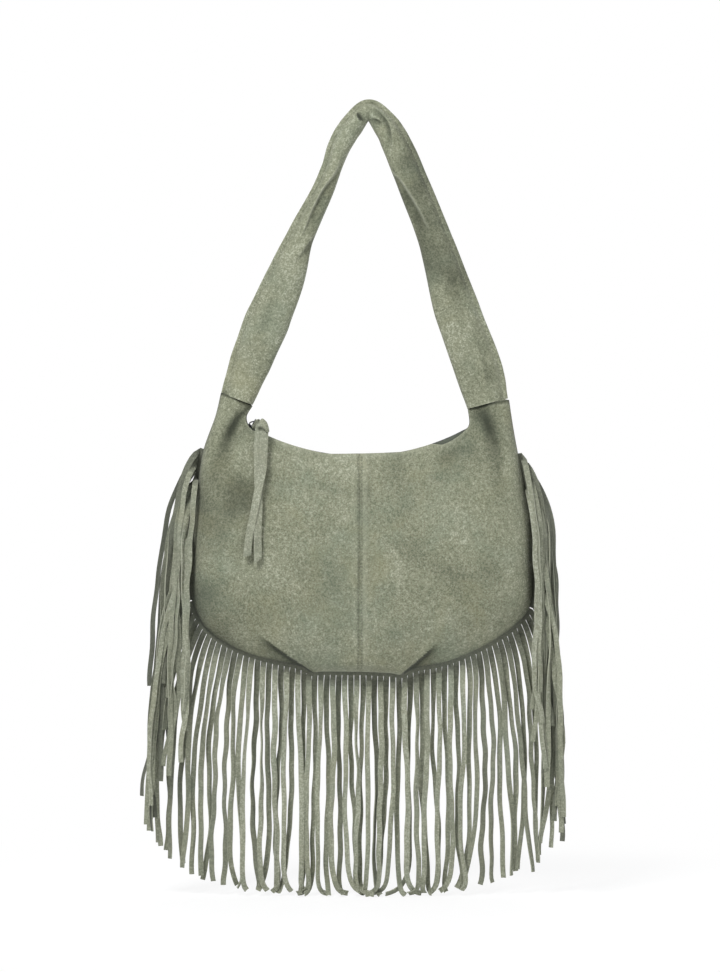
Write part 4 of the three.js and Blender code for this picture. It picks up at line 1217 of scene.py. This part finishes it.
# Corners of a flat strip's section, as shares of its half width and half thickness
SECTION = ((-1, -1), (0, -1), (1, -1), (1, 1), (0, 1), (-1, 1))


def flat_section(route, across, through, half, thickness, cup=0.0):
    """Corners of a flat strip at each point of its route, its edges cupped away from its middle."""
    rings = []
    for u, v in SECTION:
        bend = cup if u == 0 else -cup
        rings.append(route + across * half * u + through * (v * thickness / 2 + bend))
    return np.stack(rings, axis=1)


def strip_rings(side, strip, along, steps):
    """Corners of the strip's section at each step, turning a little as it hangs."""
    sign = HALVES[side]["sign"]
    route, travelled, phase = strip_route(side, strip, along, steps)
    ahead = unit(np.gradient(route, axis=0))
    across = unit(np.stack([ahead[:, 2], np.zeros(len(ahead)), -ahead[:, 0]], axis=-1) * -sign)
    through = np.cross(ahead, across)
    through *= np.where(through[:, 1:2] < 0, -1, 1)
    ramp = smoothstep(travelled, 4, STRIP_TURNS_OVER)
    most = 0.25 + 1.0 * scatter(strip, 8) ** 1.5
    lean = 1.3 * (scatter(strip, 9) - 0.5)
    wave = np.sin(travelled / (30 + 26 * scatter(strip, 5)) + phase)
    twist = (ramp * (lean + most * wave * 0.7))[:, None]
    turned = across * np.cos(twist) + through * np.sin(twist)
    facing = through * np.cos(twist) - across * np.sin(twist)
    breadth = 0.92 + 0.16 * (scatter(strip, 15) - 0.5)
    breadth = lerp(1.04, breadth, smoothstep(travelled, 4, 45))
    half = STRIP_WIDTH / 2 * (breadth + 0.04 * ramp * np.sin(travelled / 19 + 3 * phase))[:, None]
    cup = (np.sin(travelled / 41 + 7 * phase) * 0.45 * ramp)[:, None]
    return flat_section(route, turned, facing, half, SUEDE * 0.92, cup), travelled


def fringe_band(name, side, start, end):
    """A length of fringe: the uncut band in the seam and the strips cut from it."""
    steps = sizes().strip_steps
    count = int((end - start) // FRINGE_PITCH)
    pitch = (end - start) / count
    points, faces, wear_and_highlight, tone = [], [], [], []

    def add_faces(quads, rubbed, shade):
        faces.extend(quads)
        wear_and_highlight.extend(rubbed)
        tone.extend([shade] * len(quads))

    def band_corners(along):
        point, outward = seam_frames(side, along)
        first = len(points)
        for reach in HEADER_ROWS:
            for y in (-SUEDE / 2, SUEDE / 2):
                flat = point[0] + outward[0] * reach
                points.append((flat[0], y, flat[1]))
        return first

    def join_band(a, b, closed):
        quads = [(a, b, b + 1, a + 1)]
        for row in (0, 2):
            quads.append((a + row + 2, b + row + 2, b + row, a + row))
            quads.append((a + row + 1, b + row + 1, b + row + 3, a + row + 3))
        if closed:
            quads.append((a + 4, a + 5, b + 5, b + 4))
        add_faces(quads, [0.0] * len(quads), HEADER_SHADOW_TONE)

    previous = None
    if start < STRIP_WIDTH:
        previous = band_corners(0)
    for place in range(count):
        along = start + (place + 0.5) * pitch
        strip = round(along / FRINGE_PITCH) + (0 if side == "left" else RIGHT_STRIPS_FROM)
        width = STRIP_WIDTH / 2
        a, b = band_corners(along - width), band_corners(along + width)
        if previous is None:
            add_faces([(a, a + 1, a + 3, a + 2), (a + 2, a + 3, a + 5, a + 4)], [0.2] * 2, HEADER_SHADOW_TONE)
        else:
            join_band(previous, a, True)
        join_band(a, b, False)
        rings, travelled = strip_rings(side, strip, along, steps)
        lane, _ = strip_lane(side, strip, along)
        apart = scatter(strip, 10) - 0.5
        # Strips further behind painted darker, as shade, with a random share on top
        if along > SIDE_FRINGE_STARTS[side]:
            shade = lerp(*SIDE_STRIP_TONES, min(1, -lane / SIDE_LANES_DEEP)) + 0.3 * apart
        else:
            shade = (REAR_STRIP_TONE if lane > 0 else FRONT_STRIP_TONE) + 0.36 * apart
        middle = len(points)
        points.append(tuple((np.array(points[a + 4]) + np.array(points[b + 4])) / 2))
        points.append(tuple((np.array(points[a + 5]) + np.array(points[b + 5])) / 2))
        ring = [a + 4, middle, b + 4, b + 5, middle + 1, a + 5]
        for k in range(1, len(rings)):
            first = len(points)
            points.extend(map(tuple, rings[k]))
            following = [first + c for c in range(6)]
            quads = []
            for c in range(6):
                d = (c + 1) % 6
                quads.append((ring[d], ring[c], following[c], following[d]))
            # Near its top each strip is painted into the body's shadow
            add_faces(quads, CUT_WEAR, lerp(shade, HEADER_SHADOW_TONE, hump(travelled[k], HEADER_SHADOW_FADES)))
            ring = following
        add_faces([tuple(reversed(ring))], [0.9], shade)
        previous = b
    add_faces([(previous, previous + 2, previous + 3, previous + 1),
               (previous + 2, previous + 4, previous + 5, previous + 3)], [0.2] * 2, HEADER_SHADOW_TONE)
    return object_from(name, points, faces, "fringe", sharp=40, attributes={"wear_and_highlight": wear_and_highlight, "tone": tone})


# Zip pull
SLIDER_ANGLE = math.radians(-29.3)
EYE_RADIUS = ZIP_RADIUS - 7.5
RING_RADIUS = 4.9
RING_WIRE = 1.3
RING_GRID = (72, 20)
RING_DROOP = math.radians(30)
SLIDER_EYE = np.array([
    CENTRE_SEAM_X + EYE_RADIUS * math.sin(SLIDER_ANGLE), 0,
    ZIP_CENTRE_Z - EYE_RADIUS * math.cos(SLIDER_ANGLE),
])
RING_WAY = np.array([0, -math.cos(RING_DROOP), -math.sin(RING_DROOP)])
RING_UP = np.array([0, -math.sin(RING_DROOP), math.cos(RING_DROOP)])
RING_FAR = SLIDER_EYE + 2 * RING_RADIUS * RING_WAY
LACE_WIDTH = 8.4
LACE_THICKNESS = 1.3
LACE_CLEARANCE = 3.6
LACE_CUP = 0.3
TRAVEL_STEPS = 17
SKIN_IS_NEAR = 3
LACE_TONE = 0.52
# How pale each face of the lace's section is: the cut edges rubbed pale, the left one paler still with a painted
# highlight where the light falls
LACE_EDGE_WEAR_AND_HIGHLIGHT = (0.05, 0.05, 0.5, 0.05, 0.05, 0.9)
LACE_END_WEAR = 0.8
# The knot painted dark, as it lies in shade behind the fold
KNOT_SHADE_TONE = 0.3
KNOT_WEAR = 0.15
LOOP_REACH = 1.95
LOOP_HALF_WIDTH = 2.1
LOOP_THICKNESS = 1.0
KNOT = SLIDER_EYE + np.array([7.6, -15.4, -4.8])
KNOT_SIZE = (12.6, 10, 11.6)
KNOT_GRID = (48, 60)
STRAND_POINTS = 21
STRAND_WIDTHS = (4.6, 6.4)
STRAND_ACROSS = (0.8, 0, -0.6)
STRAND = [(-0.4, -9.4, -6.4), (1.6, -13.4, -4.2), (4.2, -17.4, -0.9), (6.6, -17, -2.4)]

# The knot's fold: its outline seen from the front, how far it stands before the knot and its dome
HOOD = [
    (-111.8, -308.9), (-110.6, -305.2), (-108.6, -302), (-106.2, -300.4), (-103.4, -302.2), (-101.2, -305.4),
    (-99.6, -313.6), (-101.4, -314.4), (-105.2, -310.8), (-108.6, -309.2),
]
HOOD_BEFORE_KNOT = 7.4
HOOD_DOME = 3.4
# Tones of the fold: its dome, and its wall and back painted dark as the shadow under its lower edge
HOOD_TONE_AND_SHADOW = (0.58, 0.1)
HOOD_OUTER_ROWS = 7
TAIL_BEFORE_KNOT = 4.2

# The lace's tails seen from the front
FRONT_TAIL = [
    (-104.8, -305.2), (-104.6, -314.4), (-105.1, -331.4), (-105.8, -350.4), (-109.5, -369.4),
    (-112.1, -383.4), (-115.1, -399.4), (-117.6, -411.4), (-119.9, -427.4), (-120.4, -436.4),
]
REAR_TAIL = [
    (-108.8, -305.2), (-109.8, -314.4), (-110.9, -331.4), (-110.4, -350.4), (-109.9, -369.4),
    (-109.4, -391.4), (-110.3, -414.4), (-109.8, -441.4),
]
# The tails: outline, layer over the body, slant of the cut tip and where their turning starts
TAILS = {"front": (FRONT_TAIL, 1, 0.8, 0.4), "rear": (REAR_TAIL, 0, 3.2, 2.0)}


def pull_ring():
    """The smooth wire ring through the slider's eye."""
    centre = SLIDER_EYE + RING_RADIUS * RING_WAY
    stations, girth = RING_GRID
    points = []
    for i in range(stations):
        turn = 2 * math.pi * i / stations
        radial = RING_WAY * math.cos(turn) + np.array([1, 0, 0]) * math.sin(turn)
        for k in range(girth):
            spin = 2 * math.pi * k / girth
            points.append(centre + radial * (RING_RADIUS + RING_WIRE / 2 * math.cos(spin))
                          + RING_UP * RING_WIRE / 2 * math.sin(spin))
    faces = ring_faces(stations, girth, loops=True, turned=True)
    return object_from("pull_ring_wire", points, faces, "metal")


def band_along(route, across_hint, widths, cup=0.0):
    """Corners of the flat lace along its route, its width laid as near to the hint as it can be."""
    ahead = unit(np.gradient(route, axis=0))
    hint = np.broadcast_to(np.asarray(across_hint, float), route.shape)
    across = unit(hint - ahead * (hint * ahead).sum(-1, keepdims=True))
    half = widths[:, None] / 2
    return flat_section(route, across, np.cross(ahead, across), half, LACE_THICKNESS, cup)


def lace_strand():
    """The strand that comes up from the ring and goes under the knot's fold."""
    path = Curve([(x, z) for x, _, z in STRAND])
    share = np.linspace(0, 1, STRAND_POINTS)
    flat = path.at_share(share)
    depth = np.interp(share, np.linspace(0, 1, len(STRAND)), [y for _, y, _ in STRAND])
    route = SLIDER_EYE + np.stack([flat[:, 0], depth, flat[:, 1]], axis=-1)
    return band_along(route, STRAND_ACROSS, np.linspace(*STRAND_WIDTHS, STRAND_POINTS))


def front_skin():
    """Points all over the front of the body."""
    out, down = np.meshgrid(np.linspace(0, 1, 160), np.linspace(0, 1, 120), indexing="ij")
    return np.concatenate([skin(side, out, down, -1).reshape(-1, 3) for side in HALVES])


def depth_to_clear(cloud, x, z):
    """Deepest skin that this place on the lace passes over the slider's whole travel."""
    deepest = 0
    for turn in np.linspace(SLIDER_ANGLE, -SLIDER_ANGLE, TRAVEL_STEPS):
        dx = EYE_RADIUS * (math.sin(turn) - math.sin(SLIDER_ANGLE))
        dz = EYE_RADIUS * (math.cos(SLIDER_ANGLE) - math.cos(turn))
        for aside in (-LACE_WIDTH, 0, LACE_WIDTH):
            away = (cloud[:, 0] - x - dx - aside) ** 2 + (cloud[:, 2] - z - dz) ** 2
            nearest = np.argmin(away)
            if away[nearest] < SKIN_IS_NEAR**2:
                deepest = max(deepest, -cloud[nearest, 1])
    return deepest


def lace_tail(points, cloud, layer, slant, phase):
    """One tail of the lace, turning a little as it hangs, its tip cut at a slant."""
    share = np.linspace(0, 1, 81)
    flat = Curve(points).at_share(share)
    start = TAIL_BEFORE_KNOT - KNOT[1] + (layer - 0.5) * LACE_THICKNESS
    depths = []
    for k, (x, z) in enumerate(points):
        clear = depth_to_clear(cloud, x, z) + LACE_CLEARANCE + LACE_THICKNESS * (layer + 0.5)
        depths.append(start if k == 0 else max(start, clear))
    depth = smoothed(np.interp(-flat[:, 1], [-z for _, z in points], depths), 12)
    route = np.stack([flat[:, 0], -depth, flat[:, 1]], axis=-1)
    turn = 0.35 * np.sin(share * 7 + phase) * smoothstep(share, 0.1, 0.5)
    hint = np.stack([np.cos(turn), np.sin(turn), np.zeros_like(turn)], axis=-1)
    widths = LACE_WIDTH * (0.97 - 0.08 * share + 0.03 * np.sin(share * 13 + phase))
    widths *= lerp(0.72, 1, smoothstep(share, 0, 0.07))
    rings = band_along(route, hint, widths, LACE_CUP)
    for column, (u, _) in enumerate(SECTION):
        rings[-1][column] += np.array([0, 0, slant * u])
    return rings


def knot_points():
    """The knot: a soft lump with a crease round it."""
    rings, girth = KNOT_GRID
    points = []
    for i in range(rings + 1):
        rise = math.pi * i / rings
        for k in range(girth):
            turn = 2 * math.pi * k / girth
            way = np.array([math.sin(rise) * math.cos(turn), math.sin(rise) * math.sin(turn), math.cos(rise)])
            crease = hump(way[2] + 0.6 * way[0] + 0.1, 0.12)
            points.append(KNOT + way * np.array(KNOT_SIZE) / 2 * (1 - 0.1 * crease))
    faces = ring_faces(rings + 1, girth, turned=True)
    return points, faces, [KNOT_SHADE_TONE] * len(faces)


def knot_hood():
    """The turn of lace folded over the knot: domed, with a crisp lower edge that stands off the tails."""
    outline = Curve([*HOOD, HOOD[0]]).at_share(np.linspace(0, 1, 73)[:-1])
    middle = outline.mean(axis=0)
    girth = len(outline)
    shares = [0.02, 0.2, 0.4, 0.58, 0.72, 0.84, 0.93, 0.98, 1.0, 1.0, 0.9, 0.4]
    fronts = [HOOD_DOME * (1 - share**2.6) for share in shares[:9]] + [-LACE_THICKNESS] * 3
    points = []
    for share, front in zip(shares, fronts):
        flat = middle + (outline - middle) * share
        ridge = 0.5 * hump(flat[:, 1] - 0.7 * flat[:, 0] + 233, 1.4) * (front > 0)
        points.extend((x, KNOT[1] - HOOD_BEFORE_KNOT - front + r, z) for (x, z), r in zip(flat, ridge))
    faces = ring_faces(len(shares), girth)
    # The dome in its own tone, the wall and back painted dark as shadow
    tone = [HOOD_TONE_AND_SHADOW[0]] * (HOOD_OUTER_ROWS * girth)
    tone += [HOOD_TONE_AND_SHADOW[1]] * ((len(shares) - 1 - HOOD_OUTER_ROWS) * girth)
    faces.append(tuple(range(girth)))
    faces.append(tuple((len(shares) - 1) * girth + k for k in reversed(range(girth))))
    return points, faces, tone + list(HOOD_TONE_AND_SHADOW)


def lace_piece(name, parts, lumps=()):
    """One piece of the lace from tubes of band sections and ready lumps."""
    points, faces, wear_and_highlight, tone = [], [], [], []
    for rings, loops in parts:
        added = tube_faces(*rings.shape[:2], len(points), loops)
        points.extend(map(tuple, rings.reshape(-1, 3)))
        faces.extend(added)
        sides = len(added) if loops else len(added) - 2
        wear_and_highlight.extend([LACE_EDGE_WEAR_AND_HIGHLIGHT[n % 6] if n < sides else LACE_END_WEAR for n in range(len(added))])
        tone.extend([LACE_TONE] * len(added))
    for lump, lump_faces, lump_tone in lumps:
        first = len(points)
        points.extend(map(tuple, lump))
        faces.extend(tuple(first + c for c in face) for face in lump_faces)
        wear_and_highlight.extend([KNOT_WEAR] * len(lump_faces))
        tone.extend(lump_tone)
    return object_from(name, points, faces, "fringe", sharp=48, attributes={"wear_and_highlight": wear_and_highlight, "tone": tone})


def pull_lace():
    """The lace's knot, hitched on the ring by its loop and its strand."""
    turns = np.linspace(0, 2 * math.pi, 40, endpoint=False)[:, None]
    loop = RING_FAR + (RING_WAY * np.cos(turns) + RING_UP * np.sin(turns)) * LOOP_REACH
    ahead = unit(np.roll(loop, -1, axis=0) - np.roll(loop, 1, axis=0))
    across = np.array([1, 0, 0])
    loop_rings = flat_section(loop, across, np.cross(ahead, across), LOOP_HALF_WIDTH, LOOP_THICKNESS)
    parts = ((loop_rings, True), (lace_strand(), False))
    return lace_piece("pull_lace_knot", parts, (knot_points(), knot_hood()))


def lace_tails():
    """The two tails, each with the middle line that it follows."""
    cloud = front_skin()
    tails = []
    for name, (points, layer, slant, phase) in TAILS.items():
        rings = lace_tail(points, cloud, layer, slant, phase)
        piece = lace_piece(f"pull_lace_{name}_tail", ((rings, False),))
        tails.append((piece, (rings[:, 1] + rings[:, 4]) / 2 * MM))
    return tails


METAL_EDGE = 0.15

# The parts that keep the packed shape and only take a finish
CARRIED = {
    "zip_tape_front": "tape", "zip_tape_back": "tape", "zip_teeth_front": "metal", "zip_teeth_back": "metal",
    "zip_end_stop": "metal", "zip_slider": "metal", "lining_front": "lining", "lining_back": "lining",
    "lining_pocket": "lining",
}
# The cloth pieces: the width and length each was cut from, in metres, the share of it that the cut keeps, and
# the piece that each is sewn to
CLOTHS = {
    "lining_front": ((0.332, 0.222), 0.86, "zip_tape_front"),
    "lining_back": ((0.332, 0.222), 0.86, "zip_tape_back"),
    "lining_pocket": ((0.09, 0.084), 0.89, "lining_back"),
}
SLOTS = {"tape": "zip_tape", "metal": "dark_metal", "lining": "lining"}


def dress(node, finish):
    """Gives a packed node its finish and, if it is metal, slightly rounded edges."""
    piece = frame["nodes"][node]
    piece.data.materials.clear()
    piece.data.materials.append(finish_of(finish))
    if finish == "metal":
        bevel = piece.modifiers.new("Rounded edges", "BEVEL")
        bevel.width = METAL_EDGE * MM
        bevel.segments = 2
        bevel.limit_method = "ANGLE"
    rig.slot(piece, SLOTS[finish])
    return piece


def build_panels():
    for side in ("left", "right"):
        for face, where in ((-1, "front"), (1, "back")):
            piece = panel(side, face)
            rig.ride(piece, BAG)
            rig.replaces(piece, f"{where}_panel_{side}")
            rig.slot(piece, "suede")


def build_stitches():
    for face in (-1, 1):
        for piece in (*seam_stitches(face), handle_stitches(face)):
            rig.ride(piece, BAG)


def build_handle():
    piece = handle_sleeve()
    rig.ride(piece, BAG)
    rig.replaces(piece, "handle")
    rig.slot(piece, "suede")


def build_fringe():
    for side in ("left", "right"):
        corner = SIDE_FRINGE_STARTS[side]
        for name, start, end in (("fringe_bottom_" + side, PLAY / 2, corner - PLAY / 2),
                                 ("fringe_" + side, corner + PLAY / 2, FRINGE_REACH[side])):
            piece = fringe_band(name + "_strips", side, start, end)
            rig.ride(piece, BAG)
            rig.replaces(piece, name)
            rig.slot(piece, "fringe_suede")


def build_pull():
    ring = pull_ring()
    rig.ride(ring, "ring")
    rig.replaces(ring, "pull_ring")
    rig.slot(ring, "dark_metal")
    knot = pull_lace()
    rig.replaces(knot, "pull_lace")
    tails = lace_tails()
    for piece in (knot, *(tail for tail, _ in tails)):
        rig.ride(piece, "lace")
        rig.slot(piece, "fringe_suede")
    for tail, path in tails:
        length = float(np.linalg.norm(np.diff(path, axis=0), axis=1).sum())
        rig.cord(tail, exit=path[0], length=length, diameter=LACE_WIDTH * MM, far_end="bare", stiffness="limp",
                lay="hanging", path=path)


def build_zip_and_lining():
    for node, finish in CARRIED.items():
        dress(node, finish)
    for node, (flat, share, carrier) in CLOTHS.items():
        area = flat[0] * flat[1] * share
        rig.sheet(frame["nodes"][node], flat=flat, held="hung", rests_on=[carrier], area=area)


# Stage, in metres: each lamp's place, its sides and its power in watts
LAMPS = {
    "key": ((-0.85, -1.5, 1.3), (0.7, 0.7), 48),
    "fill": ((1.5, -1.6, 0.2), (1.4, 1.4), 12),
    "top": ((0.0, 0.3, 1.6), (1.6, 1.2), 8),
    "rear": ((0.9, 1.8, 0.5), (1.2, 1.2), 22),
}
LAMPS_FACE = (-0.01, 0, -0.4)
ROOM_LIGHT = ((0.93, 0.95, 1.0, 1), 0.36)
ROOM_SEEN = ((1, 1, 1, 1), 1.0)
CARD_WHITE = (0.92, 0.92, 0.92)
CARD_GLOW = 0.8
CARD_FADES = (0.25, 0.6)
FLOOR_SIZE = 12
FLOOR_BELOW_TIPS = 0.6
CAMERA_PLACE = (-0.0094, -3.0, -0.3674)
CAMERA_LENS = 150


def card_finish():
    """White card that shows the bag's shadow near it and fades to plain white further off."""
    finish = Finish("Floor card")
    finish.set(Base_Color=CARD_WHITE, Roughness=0.9, Specular_IOR_Level=0.0)
    light = finish.tree.nodes.new("ShaderNodeEmission")
    light.inputs["Color"].default_value = (1, 1, 1, 1)
    far = finish.node("ShaderNodeVectorMath", {"operation": "LENGTH"}, {0: finish.place()}, output=1)
    plain = finish.between(far, *CARD_FADES)
    seen = finish.node("ShaderNodeLightPath", output=0)
    share = seen * (plain * (1 - CARD_GLOW) + CARD_GLOW)
    mix = finish.tree.nodes.new("ShaderNodeMixShader")
    finish.tree.links.new(share.socket, mix.inputs[0])
    finish.tree.links.new(finish.shader.outputs[0], mix.inputs[1])
    finish.tree.links.new(light.outputs[0], mix.inputs[2])
    finish.tree.links.new(mix.outputs[0], finish.output.inputs[0])
    return finish.material


def white_world():
    world = bpy.data.worlds.new("White room")
    bpy.context.scene.world = world
    world.use_nodes = True
    tree = world.node_tree
    tree.nodes.clear()
    output = tree.nodes.new("ShaderNodeOutputWorld")
    path = tree.nodes.new("ShaderNodeLightPath")
    mix = tree.nodes.new("ShaderNodeMixShader")
    tree.links.new(path.outputs["Is Camera Ray"], mix.inputs[0])
    for place, (colour, strength) in enumerate((ROOM_LIGHT, ROOM_SEEN), 1):
        background = tree.nodes.new("ShaderNodeBackground")
        background.inputs["Color"].default_value = colour
        background.inputs["Strength"].default_value = strength
        tree.links.new(background.outputs[0], mix.inputs[place])
    tree.links.new(mix.outputs[0], output.inputs[0])


def area_lamp(name, place, size, power):
    lamp = bpy.data.lights.new(name, "AREA")
    lamp.shape = "RECTANGLE"
    lamp.size, lamp.size_y = size
    lamp.energy = power
    piece = bpy.data.objects.new(name, lamp)
    piece.location = place
    piece.rotation_euler = (Vector(LAMPS_FACE) - Vector(place)).to_track_quat("-Z", "Y").to_euler()
    bpy.context.collection.objects.link(piece)
    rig.stage(piece)


def build_stage():
    white_world()
    level = (surface_height() - FLOOR_BELOW_TIPS) * MM
    bpy.ops.mesh.primitive_plane_add(size=FLOOR_SIZE, location=(0, 0, level))
    floor = bpy.context.object
    floor.name = "floor"
    floor.data.materials.append(card_finish())
    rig.stage(floor)
    for name, (place, size, power) in LAMPS.items():
        area_lamp(name, place, size, power)
    camera = bpy.data.cameras.new("camera")
    camera.lens = CAMERA_LENS
    camera.sensor_width = 36
    camera.sensor_fit = "HORIZONTAL"
    eye = bpy.data.objects.new("camera", camera)
    eye.location = CAMERA_PLACE
    eye.rotation_euler = (math.pi / 2, 0, 0)
    bpy.context.collection.objects.link(eye)
    bpy.context.scene.camera = eye
    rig.stage(eye)
    bpy.context.scene.view_settings.view_transform = "Standard"


def make_operator(identity, label, text, work):
    """An operator that does one piece of the building and says so if it can't."""
    def execute(self, context):
        try:
            work()
        except Exception as problem:
            raise RuntimeError(f"{label}: {problem}") from problem
        return {"FINISHED"}

    return type("BAG_OT_" + identity, (bpy.types.Operator,), {
        "__doc__": text, "bl_idname": "bag." + identity, "bl_label": label, "execute": execute})


OPERATORS = [
    make_operator("panels", "Add panels", "Add the four suede panels of the body", build_panels),
    make_operator("handle", "Add handle", "Add the folded suede handle", build_handle),
    make_operator("stitches", "Add stitches", "Add the topstitching", build_stitches),
    make_operator("fringe", "Add fringe", "Add the cut fringe", build_fringe),
    make_operator("pull", "Add zip pull", "Add the ring and the knotted lace", build_pull),
    make_operator("zip", "Finish zip and lining", "Give the zip and the lining their finishes",
                  build_zip_and_lining),
    make_operator("stage", "Add stage", "Add the floor, the lamps and the camera", build_stage),
]


class BAG_PT_build(bpy.types.Panel):
    """Lists the bag's sizes, colours and building steps."""

    bl_label = "Suede bag"
    bl_space_type = "VIEW_3D"
    bl_region_type = "UI"
    bl_category = "Suede bag"

    def draw(self, context):
        for group in (context.scene.bag_sizes, context.scene.bag_colours):
            for name in group.__annotations__:
                self.layout.prop(group, name)
        for operator in OPERATORS:
            self.layout.operator(operator.bl_idname)


CLASSES = [BagSizes, BagColours, *OPERATORS, BAG_PT_build]


def register():
    for kind in CLASSES:
        bpy.utils.register_class(kind)
    bpy.types.Scene.bag_sizes = bpy.props.PointerProperty(type=BagSizes)
    bpy.types.Scene.bag_colours = bpy.props.PointerProperty(type=BagColours)


def unregister():
    del bpy.types.Scene.bag_sizes
    del bpy.types.Scene.bag_colours
    for kind in reversed(CLASSES):
        bpy.utils.unregister_class(kind)


def main():
    register()
    for operator in OPERATORS:
        getattr(bpy.ops.bag, operator.bl_idname.split(".")[1])()
    with open("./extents.json", "w") as out:
        json.dump({"cad": [list(corner) for corner in CAD_BOX],
                   "looks": [list(corner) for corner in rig.bounds()]}, out)


if __name__ == "__main__":
    main()
